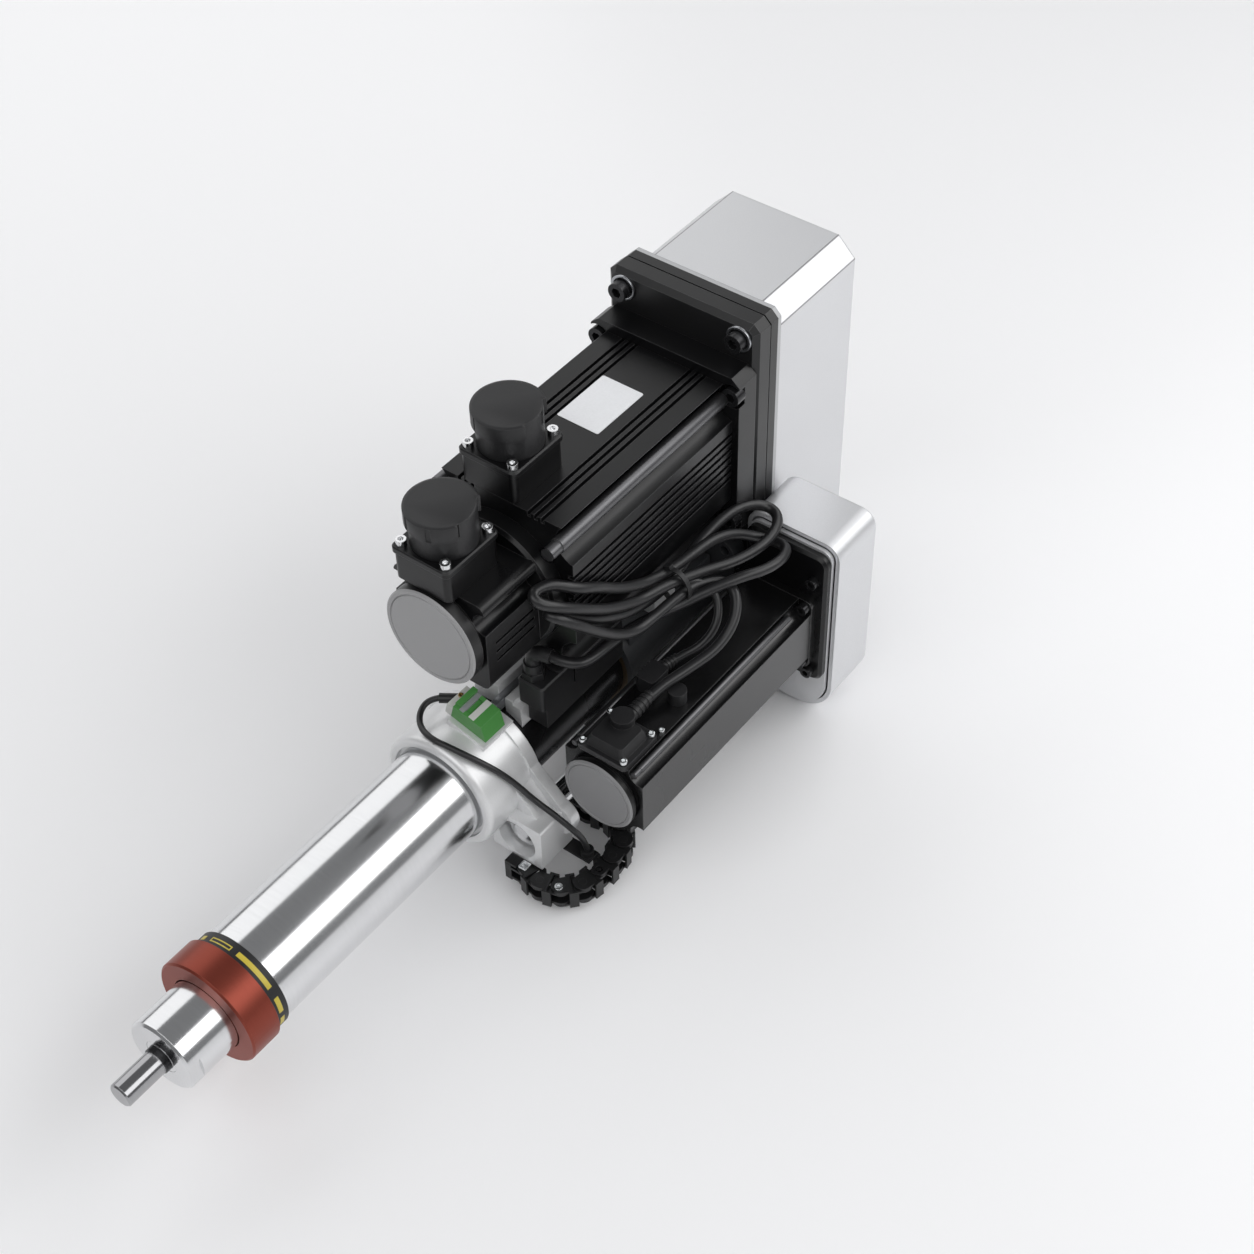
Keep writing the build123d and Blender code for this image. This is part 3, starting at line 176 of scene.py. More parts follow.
# How near counts as lying on a face, and the quarter turn that lays a round piece along the spindle
touch = 0.0001
along_y = (math.radians(90), 0, 0)


# Shader groups shared by several finishes

def new_group(name, inputs, outputs):
    """An empty shader group with its named sockets."""
    group = bpy.data.node_groups.new(name, "ShaderNodeTree")
    for label, kind, value in inputs:
        socket = group.interface.new_socket(name=label, in_out="INPUT", socket_type=kind)
        socket.default_value = value
    for label, kind in outputs:
        group.interface.new_socket(name=label, in_out="OUTPUT", socket_type=kind)
    group.nodes.new("NodeGroupInput")
    group.nodes.new("NodeGroupOutput")
    return group


def add(tree, kind, values=None, **settings):
    """A node with its settings and the values of its inputs."""
    node = tree.nodes.new(kind)
    for key, value in settings.items():
        setattr(node, key, value)
    for key, value in (values or {}).items():
        node.inputs[key].default_value = value
    return node


def wire(tree, giver, output, taker, entry):
    """Leads an output of one node to an input of another."""
    tree.links.new(giver.outputs[output], taker.inputs[entry])


def grain_group():
    """Fine surface grain: a mask that varies over the surface and a bump normal."""
    group = new_group("fine grain",
                      [("Scale", "NodeSocketFloat", 400.0), ("Depth", "NodeSocketFloat", 0.2),
                       ("Stretch", "NodeSocketVector", (1.0, 1.0, 1.0)),
                       ("Edge", "NodeSocketFloat", 0.0004)],
                      [("Mask", "NodeSocketFloat"), ("Normal", "NodeSocketVector")])
    source = group.nodes["Group Input"]
    result = group.nodes["Group Output"]
    place = add(group, "ShaderNodeTexCoord")
    stretch = add(group, "ShaderNodeVectorMath", operation="MULTIPLY")
    noise = add(group, "ShaderNodeTexNoise", {"Detail": 4.0, "Roughness": 0.6}, noise_dimensions="3D")
    edge = add(group, "ShaderNodeBevel", samples=4)
    bump = add(group, "ShaderNodeBump", {"Distance": 0.0003})
    wire(group, place, "Object", stretch, 0)
    wire(group, source, "Stretch", stretch, 1)
    wire(group, stretch, "Vector", noise, "Vector")
    wire(group, source, "Scale", noise, "Scale")
    wire(group, source, "Edge", edge, "Radius")
    wire(group, noise, "Fac", bump, "Height")
    wire(group, source, "Depth", bump, "Strength")
    wire(group, edge, "Normal", bump, "Normal")
    wire(group, noise, "Fac", result, "Mask")
    wire(group, bump, "Normal", result, "Normal")
    return group


def patches_group():
    """Wide soft patches, for uneven gloss and colour."""
    group = new_group("soft patches",
                      [("Scale", "NodeSocketFloat", 12.0), ("Low", "NodeSocketFloat", 0.3),
                       ("High", "NodeSocketFloat", 0.5)],
                      [("Value", "NodeSocketFloat")])
    source = group.nodes["Group Input"]
    result = group.nodes["Group Output"]
    place = add(group, "ShaderNodeTexCoord")
    noise = add(group, "ShaderNodeTexNoise", {"Detail": 3.0}, noise_dimensions="3D")
    spread = add(group, "ShaderNodeMapRange", {"From Min": 0.3, "From Max": 0.7})
    wire(group, place, "Object", noise, "Vector")
    wire(group, source, "Scale", noise, "Scale")
    wire(group, noise, "Fac", spread, "Value")
    wire(group, source, "Low", spread, "To Min")
    wire(group, source, "High", spread, "To Max")
    wire(group, spread, "Result", result, "Value")
    return group


def wear_and_highlight_group():
    """Mask that is high along edges, broken up by noise; the lighter edge colour it lays paints edge
    highlights as well as wear.
    """
    group = new_group("edge wear",
                      [("Width", "NodeSocketFloat", 0.0006), ("Amount", "NodeSocketFloat", 0.5)],
                      [("Mask", "NodeSocketFloat")])
    source = group.nodes["Group Input"]
    result = group.nodes["Group Output"]
    edge = add(group, "ShaderNodeBevel", samples=4)
    face = add(group, "ShaderNodeNewGeometry")
    match = add(group, "ShaderNodeVectorMath", operation="DOT_PRODUCT")
    turn = add(group, "ShaderNodeMapRange", {"From Min": 0.999, "From Max": 0.9})
    place = add(group, "ShaderNodeTexCoord")
    noise = add(group, "ShaderNodeTexNoise", {"Scale": 90.0})
    broken = add(group, "ShaderNodeMath", operation="MULTIPLY")
    level = add(group, "ShaderNodeMath", operation="MULTIPLY", use_clamp=True)
    wire(group, source, "Width", edge, "Radius")
    wire(group, edge, "Normal", match, 0)
    wire(group, face, "Normal", match, 1)
    wire(group, match, "Value", turn, "Value")
    wire(group, place, "Object", noise, "Vector")
    wire(group, turn, "Result", broken, 0)
    wire(group, noise, "Fac", broken, 1)
    wire(group, broken, "Value", level, 0)
    wire(group, source, "Amount", level, 1)
    wire(group, level, "Value", result, "Mask")
    return group


grain = grain_group()
patches = patches_group()
wear_and_highlight = wear_and_highlight_group()


# Finishes

tone_spread = (0.93, 1.06)
turned = (0.05, 1.0, 0.05)
drawn = (1.0, 0.04, 1.0)
deep_black = (0.006, 0.006, 0.0065)


def grey(value):
    """A neutral colour."""
    return (value, value, value)


def finish(name, colour, wear_and_highlight_colour, metal, gloss, grain_size, grain_depth, shine=0.5,
           stretch=(1.0, 1.0, 1.0), edge=0.0004, wear_and_highlight_amount=0.4):
    """A finish with grain, uneven gloss and lighter edges that paint edge highlights as well as wear."""
    material = bpy.data.materials.new(name)
    material.use_nodes = True
    tree = material.node_tree
    shader = tree.nodes["Principled BSDF"]
    shader.inputs["Metallic"].default_value = metal
    shader.inputs["Specular IOR Level"].default_value = shine
    texture = add(tree, "ShaderNodeGroup", node_tree=grain)
    texture.inputs["Scale"].default_value = grain_size
    texture.inputs["Depth"].default_value = grain_depth
    texture.inputs["Stretch"].default_value = stretch
    texture.inputs["Edge"].default_value = edge
    uneven = add(tree, "ShaderNodeGroup", node_tree=patches)
    uneven.inputs["Low"].default_value = gloss[0]
    uneven.inputs["High"].default_value = gloss[1]
    edges = add(tree, "ShaderNodeGroup", node_tree=wear_and_highlight)
    edges.inputs["Amount"].default_value = wear_and_highlight_amount
    tone = add(tree, "ShaderNodeMix", data_type="RGBA")
    tone.name = "tone"
    for entry, factor in zip("AB", tone_spread):
        tone.inputs[entry].default_value = (*[min(1.0, part * factor) for part in colour], 1)
    # Mix towards the edge colour, which paints edge highlights as well as wear.
    wear_and_highlight_mix = add(tree, "ShaderNodeMix", data_type="RGBA")
    wear_and_highlight_mix.name = "wear_and_highlight_mix"
    wear_and_highlight_mix.inputs["B"].default_value = (*wear_and_highlight_colour, 1)
    wire(tree, texture, "Mask", tone, "Factor")
    wire(tree, tone, "Result", wear_and_highlight_mix, "A")
    wire(tree, edges, "Mask", wear_and_highlight_mix, "Factor")
    wire(tree, wear_and_highlight_mix, "Result", shader, "Base Color")
    wire(tree, uneven, "Value", shader, "Roughness")
    wire(tree, texture, "Normal", shader, "Normal")
    return material


def part_colour(material, axis, place, colour):
    """Gives a finish another colour beyond a place along an axis of the object."""
    tree = material.node_tree
    wear_and_highlight_mix = tree.nodes["wear_and_highlight_mix"]
    coordinates = add(tree, "ShaderNodeTexCoord")
    along = add(tree, "ShaderNodeSeparateXYZ")
    beyond = add(tree, "ShaderNodeMath", {1: place}, operation="GREATER_THAN")
    choice = add(tree, "ShaderNodeMix", data_type="RGBA")
    choice.inputs["B"].default_value = (*colour, 1)
    wire(tree, coordinates, "Object", along, "Vector")
    wire(tree, along, axis, beyond, 0)
    wire(tree, beyond, "Value", choice, "Factor")
    wire(tree, tree.nodes["tone"], "Result", choice, "A")
    wire(tree, choice, "Result", wear_and_highlight_mix, "A")
    return material


satin = ((0.7, 0.705, 0.72), grey(0.82), 0.55, (0.34, 0.42), 1500, 0.06)
finishes = {
    "chromed_steel": finish("chromed steel", (0.76, 0.765, 0.775), grey(0.85), 1.0, (0.13, 0.19), 900, 0.02,
                            stretch=turned, wear_and_highlight_amount=0.0),
    "satin_aluminium": finish("satin aluminium", *satin),
    "cast_aluminium": finish("cast aluminium", (0.78, 0.785, 0.79), grey(0.88), 0.45, (0.32, 0.4), 1200, 0.1,
                             edge=0.001),
    "grey_casting": finish("painted casting", (0.05, 0.052, 0.056), grey(0.16), 0.0, (0.45, 0.6), 500, 0.35,
                           edge=0.001),
    # Black paint and plastic: their strong lighter edges paint edge highlights as well as wear.
    "black_frame": finish("black satin paint", (0.004, 0.004, 0.0045), (0.09, 0.09, 0.093), 0.0,
                          (0.26, 0.36), 1600, 0.06, shine=0.38, edge=0.0006, wear_and_highlight_amount=1.2),
    "red_anodised": finish("brick red anodising", (0.27, 0.058, 0.038), (0.45, 0.16, 0.12), 0.85,
                           (0.33, 0.4), 1500, 0.04, stretch=turned),
    "black_plastic": finish("black moulded plastic", (0.011, 0.011, 0.012), grey(0.08), 0.0,
                            (0.4, 0.52), 1300, 0.12, wear_and_highlight_amount=0.8),
    "grey_cap": finish("grey satin cap", (0.17, 0.17, 0.175), grey(0.05), 0.2, (0.34, 0.42), 1500, 0.05,
                       wear_and_highlight_amount=1.0),
    "green_plastic": finish("green moulded plastic", (0.075, 0.27, 0.065), (0.2, 0.4, 0.2), 0.0,
                            (0.35, 0.5), 1200, 0.06),
    "cable_sheath": finish("cable sheath", (0.012, 0.012, 0.013), grey(0.05), 0.0, (0.3, 0.4), 900, 0.05,
                           wear_and_highlight_amount=0.0),
    "belt_rubber": finish("belt rubber", grey(0.02), grey(0.05), 0.0, (0.6, 0.75), 900, 0.2),
    "steel": finish("ground steel", (0.42, 0.43, 0.45), grey(0.6), 1.0, (0.2, 0.3), 700, 0.06,
                    stretch=turned),
    "black_steel": finish("black oxide steel", (0.03, 0.03, 0.032), grey(0.14), 0.7, (0.2, 0.3), 1200, 0.05,
                          stretch=turned),
    "bronze": finish("dull bronze", (0.1, 0.07, 0.04), (0.2, 0.15, 0.1), 0.6, (0.4, 0.5), 900, 0.06),
}


def fold_line_finish():
    """Satin aluminium with a thin dark line along the folds of the big belt housing."""
    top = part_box("drive_housing")[1][2]
    half = housing_half_width
    material = finish("folded satin aluminium", *satin, wear_and_highlight_amount=0.2)
    tree = material.node_tree
    place = add(tree, "ShaderNodeTexCoord")
    fold = add(tree, "ShaderNodeVectorMath", operation="ABSOLUTE")
    flat = add(tree, "ShaderNodeVectorMath", {1: (1, 0, 1)}, operation="MULTIPLY")
    wire(tree, place, "Object", fold, 0)
    wire(tree, fold, "Vector", flat, 0)
    nearer = add(tree, "ShaderNodeMath", operation="MINIMUM")
    for index, line in enumerate(((half - housing_bevel, 0, top), (half, 0, top - housing_bevel))):
        gap = add(tree, "ShaderNodeVectorMath", {1: line}, operation="DISTANCE")
        wire(tree, flat, "Vector", gap, 0)
        wire(tree, gap, "Value", nearer, index)
    mask = add(tree, "ShaderNodeMapRange",
               {"From Min": 0.0004, "From Max": 0.0007, "To Min": 0.75, "To Max": 0.0})
    wire(tree, nearer, "Value", mask, "Value")
    line = add(tree, "ShaderNodeMix", data_type="RGBA")
    line.inputs["B"].default_value = (0.12, 0.12, 0.125, 1)
    wire(tree, mask, "Result", line, "Factor")
    wire(tree, tree.nodes["wear_and_highlight_mix"], "Result", line, "A")
    wire(tree, line, "Result", tree.nodes["Principled BSDF"], "Base Color")
    return material


def stripe_ramp(tree, start_colour, stripes):
    """Hard-edged stripes, each from its position on."""
    colours = add(tree, "ShaderNodeValToRGB")
    ramp = colours.color_ramp
    ramp.interpolation = "CONSTANT"
    ramp.elements[0].color = start_colour
    ramp.elements[1].position, ramp.elements[1].color = stripes[0]
    for position, colour in stripes[1:]:
        ramp.elements.new(position).color = colour
    return colours


def sensor_finish():
    """The sensor's moulded colours: stripes across its top, along its tilted length, and green sides."""
    green = (0.075, 0.27, 0.065, 1)
    pale = (0.62, 0.63, 0.6, 1)
    silver = (0.3, 0.31, 0.32, 1)
    dark = (0.012, 0.012, 0.013, 1)
    side_stripes = [(0.195, pale), (0.309, green)]
    top_stripes = side_stripes + [(0.407, silver), (0.494, green), (0.593, pale), (0.696, green)]
    material = finish("striped sensor plastic", green[:3], (0.2, 0.4, 0.2), 0.0, (0.3, 0.42), 1200, 0.05)
    tree = material.node_tree
    place = add(tree, "ShaderNodeTexCoord")
    level = add(tree, "ShaderNodeMapping", vector_type="TEXTURE")
    level.inputs["Location"].default_value = (0, 0, spindle_z)
    level.inputs["Rotation"].default_value = (0, math.radians(sensor_tilt), 0)
    along = add(tree, "ShaderNodeSeparateXYZ")
    stripe = add(tree, "ShaderNodeMapRange",
                 {"From Min": sensor_left - sensor_shoe, "From Max": sensor_left + sensor_length})
    wire(tree, place, "Object", level, "Vector")
    wire(tree, level, "Vector", along, "Vector")
    wire(tree, along, "X", stripe, "Value")
    front_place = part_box("home_sensor")[0][1] + sensor_face_depth
    front = add(tree, "ShaderNodeMath", {1: front_place}, operation="LESS_THAN")
    wire(tree, along, "Y", front, 0)
    choice = add(tree, "ShaderNodeMix", data_type="RGBA")
    wire(tree, front, "Value", choice, "Factor")
    for entry, stripes in (("A", top_stripes), ("B", side_stripes)):
        colours = stripe_ramp(tree, dark, stripes)
        wire(tree, stripe, "Result", colours, "Fac")
        wire(tree, colours, "Color", choice, entry)
    wire(tree, choice, "Result", tree.nodes["wear_and_highlight_mix"], "A")
    return material


def cap_finish(node, colour):
    """Grey face on a black turned cap, parted just behind the face; its lighter edge colour paints a
    highlight along the rim.
    """
    material = finish("grey face of " + node, colour, grey(0.5), 0.1, (0.36, 0.44), 1500, 0.05)
    return part_colour(material, "Y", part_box(node)[0][1] + cap_face_depth, deep_black)


def plate_finish():
    """Black drive plate with the bare rim of the housing behind it, and lighter edges that paint edge
    highlights as well as wear.
    """
    material = finish("black plate paint", deep_black, (0.12, 0.12, 0.122), 0.0, (0.3, 0.38), 1600, 0.06,
                      edge=0.0006, wear_and_highlight_amount=1.4)
    return part_colour(material, "Y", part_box("drive_plate")[1][1] - bare_rim_depth, (0.46, 0.465, 0.475))


own_finishes = {
    "drive_housing": fold_line_finish(),
    "home_sensor": sensor_finish(),
    "drive_plate": plate_finish(),
    "encoder_cap": cap_finish("encoder_cap", (0.33, 0.33, 0.335)),
    "feed_encoder_cap": cap_finish("feed_encoder_cap", (0.24, 0.24, 0.245)),
    "arbor": finish("dark ground steel", (0.4, 0.4, 0.41), grey(0.6), 1.0, (0.14, 0.2), 900, 0.04,
                    stretch=turned),
    "socket_caps": finish("matte cap plastic", (0.014, 0.014, 0.015), grey(0.05), 0.0, (0.4, 0.5), 1300,
                          0.16),
    "feed_motor": finish("black anodised aluminium", (0.008, 0.008, 0.0085), grey(0.2), 0.3, (0.22, 0.3),
                         1600, 0.04, stretch=drawn, edge=0.0006, shine=0.8),
}
chain_finish = finish("chain plastic", deep_black, grey(0.03), 0.0, (0.35, 0.5), 1300, 0.1)
rod_steel = finish("grey rod steel", (0.13, 0.13, 0.135), grey(0.4), 0.9, (0.3, 0.38), 900, 0.04,
                   stretch=turned)
white_paper = finish("white paper label", (0.84, 0.85, 0.87), grey(0.8), 0.0, (0.4, 0.5), 700, 0.04)
yellow_paint = finish("yellow paint", (0.62, 0.5, 0.06), (0.7, 0.6, 0.2), 0.0, (0.3, 0.4), 900, 0.04)
brass = finish("brass", (0.5, 0.33, 0.12), (0.7, 0.5, 0.25), 1.0, (0.2, 0.3), 900, 0.03)
bright_zinc = finish("bright zinc", (0.7, 0.72, 0.73), grey(0.85), 1.0, (0.16, 0.24), 900, 0.03)


def dress_nodes():
    """Gives every carried-over node its own finish or the one of its slot."""
    slots = {entry["node"]: entry["material_slot"] for entry in frame["record"]["subparts"]}
    for name, thing in nodes.items():
        finish_here = own_finishes.get(name, finishes[slots[name]])
        if name.startswith("chain_"):
            finish_here = chain_finish
        thing.data.materials.clear()
        thing.data.materials.append(finish_here)


dress_nodes()


# Modelling steps

smooth_angle = math.radians(35)
sharp_angle = math.radians(40)


def nothing_selected():
    """Drops every selected object."""
    bpy.ops.object.select_all(action="DESELECT")


def take(piece):
    """Closes editing and selects one piece alone."""
    bpy.ops.object.mode_set(mode="OBJECT")
    nothing_selected()
    piece.select_set(True)
    bpy.context.view_layer.objects.active = piece


def begin(name):
    """Names the primitive just added, puts its place into its mesh and opens it for editing."""
    piece = bpy.context.object
    piece.name = name
    bpy.ops.object.transform_apply(location=True, rotation=True, scale=True)
    bpy.ops.object.mode_set(mode="EDIT")
    return piece


def let_go(kind):
    """Drops what is selected in the mesh, ready to pick its faces or edges anew."""
    bpy.ops.object.mode_set(mode="EDIT")
    bpy.ops.mesh.select_mode(type=kind)
    bpy.ops.mesh.select_all(action="DESELECT")
    bpy.ops.object.mode_set(mode="OBJECT")


def pick_faces(piece, test):
    """Selects the faces whose middle and direction pass the test."""
    let_go("FACE")
    for face in piece.data.polygons:
        face.select = test(face.center, face.normal)
    bpy.ops.object.mode_set(mode="EDIT")


def pick_edges(piece, test):
    """Selects the edges whose two ends pass the test."""
    let_go("EDGE")
    points = piece.data.vertices
    for edge in piece.data.edges:
        first, second = (points[index].co for index in edge.vertices)
        edge.select = test(first, second)
    bpy.ops.object.mode_set(mode="EDIT")


def push_faces(depth):
    """Draws the picked faces out along their normals, or in where the depth is negative."""
    bpy.ops.mesh.extrude_region_shrink_fatten(TRANSFORM_OT_shrink_fatten={"value": depth})


def lift_faces(height):
    """Draws the picked faces straight up, or down where the height is negative."""
    bpy.ops.mesh.extrude_region_move(TRANSFORM_OT_translate={"value": (0, 0, height)})


def face_outwards():
    """Turns all faces of the mesh outwards."""
    bpy.ops.mesh.select_all(action="SELECT")
    bpy.ops.mesh.normals_make_consistent(inside=False)


def apply_modifier(piece, kind, **settings):
    """Adds a modifier with its settings and applies it."""
    take(piece)
    modifier = piece.modifiers.new(kind.lower(), kind)
    for key, value in settings.items():
        setattr(modifier, key, value)
    bpy.ops.object.modifier_apply(modifier=modifier.name)


def copy_piece(piece, name, shift):
    """A copy with its own mesh, standing a shift away."""
    twin = piece.copy()
    twin.data = piece.data.copy()
    twin.name = name
    bpy.context.collection.objects.link(twin)
    twin.location = shift
    take(twin)
    bpy.ops.object.transform_apply(location=True, rotation=True, scale=True)
    return twin


def finish_piece(piece, body, material):
    """Smooths the round faces, dresses the piece and hangs it on its body."""
    take(piece)
    bpy.ops.object.shade_smooth_by_angle(angle=smooth_angle)
    piece.data.materials.clear()
    piece.data.materials.append(material)
    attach(piece, body)


# Label, band marks and screws

def add_motor_label():
    """Bare pale plate on the flat top of the big motor."""
    nothing_selected()
    bpy.ops.mesh.primitive_plane_add(size=1, location=(*label_middle, motor_top + skin_gap))
    bpy.context.object.scale = (*label_size, 1)
    label = begin("motor_label")
    bpy.ops.mesh.bevel(affect="VERTICES", offset=label_corner, segments=4)
    lift_faces(label_thickness)
    face_outwards()
    finish_piece(label, "unit_frame", white_paper)


def turn_angle(point):
    """Angle of a point round the spindle, from straight up, positive to the right."""
    return math.degrees(math.atan2(point.x, point.z - spindle_z))


def add_band_marks():
    """Yellow dashes on the black band round the sleeve."""
    low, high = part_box("stripe_band")
    radius = (high[0] - low[0]) / 2
    nothing_selected()
    bpy.ops.mesh.primitive_cylinder_add(vertices=180, radius=radius + skin_gap, depth=mark_width,
                                        end_fill_type="NOTHING",
                                        location=(0, low[1] + mark_offset, spindle_z), rotation=along_y)
    marks = begin("band_marks")

    def bare(centre, normal):
        angle = turn_angle(centre)
        return not any(start < angle < end or start < angle + 360 < end for start, end in dashes)

    def outlined(centre, normal):
        return outlined_dash[0] < turn_angle(centre) < outlined_dash[1]

    pick_faces(marks, bare)
    bpy.ops.mesh.delete(type="FACE")
    pick_faces(marks, outlined)
    bpy.ops.mesh.inset(thickness=mark_border)
    bpy.ops.mesh.delete(type="FACE")
    apply_modifier(marks, "SOLIDIFY", thickness=paint_thickness, offset=1.0)
    finish_piece(marks, "feed_carriage", yellow_paint)


def model_screw(name, place, radius, height, key):
    """Cap screw head standing on a face, with a rounded rim and a hexagon socket."""
    x, y, foot = place
    top = foot + height
    nothing_selected()
    bpy.ops.mesh.primitive_cylinder_add(vertices=32, radius=radius, depth=height,
                                        location=(x, y, foot + height / 2))
    screw = begin(name)
    pick_edges(screw, lambda a, b: min(a.z, b.z) > top - touch)
    bpy.ops.mesh.bevel(offset=height * screw_rim, segments=2)
    bpy.ops.object.mode_set(mode="OBJECT")
    nothing_selected()
    bpy.ops.mesh.primitive_cylinder_add(vertices=6, radius=key, depth=height, location=(x, y, top))
    socket = begin(name + "_socket")
    apply_modifier(screw, "BOOLEAN", operation="DIFFERENCE", object=socket)
    bpy.data.objects.remove(socket)
    return screw


def place_screws(prefix, places, sizes, body):
    """One screw modelled at the first place and copied to the others."""
    first = model_screw(prefix + "_1", places[0], *sizes)
    screws = [first]
    for number, place in enumerate(places[1:], 2):
        shift = [there - here for there, here in zip(place, places[0])]
        screws.append(copy_piece(first, "%s_%d" % (prefix, number), shift))
    for screw in screws:
        finish_piece(screw, body, bright_zinc)


def add_feed_motor_screws():
    """Bright screws of the connector plate, and two on the top of the small motor."""
    low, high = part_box("feed_motor")
    corners = [(feed_motor_x + plate_shift + side * plate_half_width, connector_y + along * plate_half_length,
                high[2] + plate_rise) for side in (-1, 1) for along in (-1, 1)]
    place_screws("connector_screw", corners, connector_screw, "unit_frame")
    seat = high[2] - cover_screw_sink
    cover = [(low[0] + left_cover_screw[0], low[1] + left_cover_screw[1], seat),
             (high[0] - right_cover_screw[0], low[1] + right_cover_screw[1], seat)]
    place_screws("cover_screw", cover, cover_screw, "unit_frame")


def add_corner_rods(prefix, node, inset, drop, radius, stations):
    """Round rods lying in both upper corner channels of a motor, with a thinner foremost end."""
    low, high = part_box(node)
    front, step, rear = stations
    x = high[0] - inset
    nothing_selected()
    bpy.ops.mesh.primitive_cylinder_add(vertices=48, radius=radius, depth=rear - front,
                                        location=(x, (front + rear) / 2, high[2] - drop), rotation=along_y)
    rod = begin(prefix + "_right")
    bpy.ops.mesh.select_all(action="SELECT")
    bpy.ops.mesh.bisect(plane_co=(0, step, 0), plane_no=(0, 1, 0))
    pick_faces(rod, lambda centre, normal: abs(normal.y) < 0.5 and centre.y < step)
    push_faces(-radius * rod_step)
    pick_edges(rod, lambda a, b: min(a.y, b.y) > rear - touch)
    bpy.ops.mesh.bevel(offset=radius * rod_edge, segments=2)
    bpy.ops.object.mode_set(mode="OBJECT")
    twin = copy_piece(rod, prefix + "_left", (low[0] + high[0] - 2 * x, 0, 0))
    for piece in (rod, twin):
        finish_piece(piece, "unit_frame", rod_steel)


# Rings, chain fasteners, sensor screw and washers

def add_ring(name, radii, front, depth, slot):
    """Turned ring round the spindle's axis, drawn out from its inner edge."""
    inner, outer = radii
    centre = (0, front, spindle_z)
    nothing_selected()
    bpy.ops.mesh.primitive_circle_add(vertices=96, radius=inner, fill_type="NOTHING", location=centre,
                                      rotation=along_y)
    ring = begin(name)
    bpy.ops.mesh.select_all(action="SELECT")
    rim = outer - ring_edge
    for scale, back in ((rim / inner, 0.0), (outer / rim, ring_edge), (1.0, depth - ring_edge)):
        bpy.ops.mesh.extrude_region_move(TRANSFORM_OT_translate={"value": (0, back, 0)})
        bpy.ops.transform.resize(value=(scale, 1, scale), center_override=centre)
    face_outwards()
    finish_piece(ring, "spindle", finishes[slot])


def add_nose_rings():
    """Dark ring round the arbor's root, painted shade of the nose's recess, and the bright one that closes
    the nose round it.
    """
    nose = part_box("spindle_shaft")[0][1]
    # Black ring standing in for the shade of the recess that the chrome ring closes.
    add_ring("arbor_shade_ring", arbor_shade_ring_radii, nose - arbor_shade_ring_rise, arbor_shade_ring_depth, "black_steel")
    add_ring("nose_ring", nose_ring_radii, nose + ring_edge, nose_ring_depth, "chromed_steel")


def add_chain_bolts():
    """Square nut and round bolt on the pivots nearest the feed head."""
    low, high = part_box("chain_link_9")
    next_low, next_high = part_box("chain_link_8")
    pitch = next_low[0] - low[0]
    reach = (high[0] - low[0] - pitch) / 2
    middle = (low[0] + reach, (low[1] + high[1]) / 2, high[2] + nut_gap + nut_size[2] / 2)
    nothing_selected()
    bpy.ops.mesh.primitive_cube_add(size=1, location=middle)
    bpy.context.object.scale = nut_size
    nut = begin("chain_nut")
    pick_faces(nut, lambda centre, normal: normal.z > 0.9)
    bpy.ops.mesh.inset(thickness=nut_wall)
    lift_faces(-nut_recess)
    apply_modifier(nut, "BEVEL", width=nut_edge, segments=2, angle_limit=sharp_angle)
    finish_piece(nut, "feed_carriage", bright_zinc)
    bolt_place = (next_high[0] - reach, (next_low[1] + next_high[1]) / 2, next_high[2])
    place_screws("chain_bolt", [bolt_place], chain_bolt, "link_8")


def tilt_with_sensor(piece):
    """Turns a piece about the spindle's axis by the sensor's tilt."""
    centre = Vector((0, 0, spindle_z))
    turn = Matrix.Rotation(math.radians(sensor_tilt), 4, "Y")
    piece.matrix_world = Matrix.Translation(centre) @ turn @ Matrix.Translation(-centre)
    bpy.ops.object.transform_apply(location=True, rotation=True, scale=True)


def add_sensor_screw():
    """Brass screw in the pale end of the sensor."""
    place = (sensor_left + sensor_screw_inset, sensor_screw_y, sensor_screw_seat)
    screw = model_screw("sensor_screw", place, *sensor_screw)
    tilt_with_sensor(screw)
    finish_piece(screw, "feed_carriage", brass)


def add_plate_washers():
    """Washers under the two big screws of the drive plate."""
    low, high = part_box("drive_plate")
    for number, side in enumerate((-1, 1), 1):
        nothing_selected()
        bpy.ops.mesh.primitive_cylinder_add(vertices=48, radius=washer_radius, depth=washer_width,
                                            end_fill_type="NOTHING", rotation=along_y,
                                            location=(side * washer_side, low[1] - washer_stand,
                                                      high[2] - washer_drop))
        washer = begin("plate_washer_%d" % number)
        apply_modifier(washer, "SOLIDIFY", thickness=washer_thickness, offset=1.0)
        pick_edges(washer, lambda a, b: max(a.y, b.y) < low[1] - washer_width)
        bpy.ops.mesh.bevel(offset=washer_edge, segments=2)
        finish_piece(washer, "unit_frame", finishes["steel"])


# Dust caps, lid, sleeves and strap

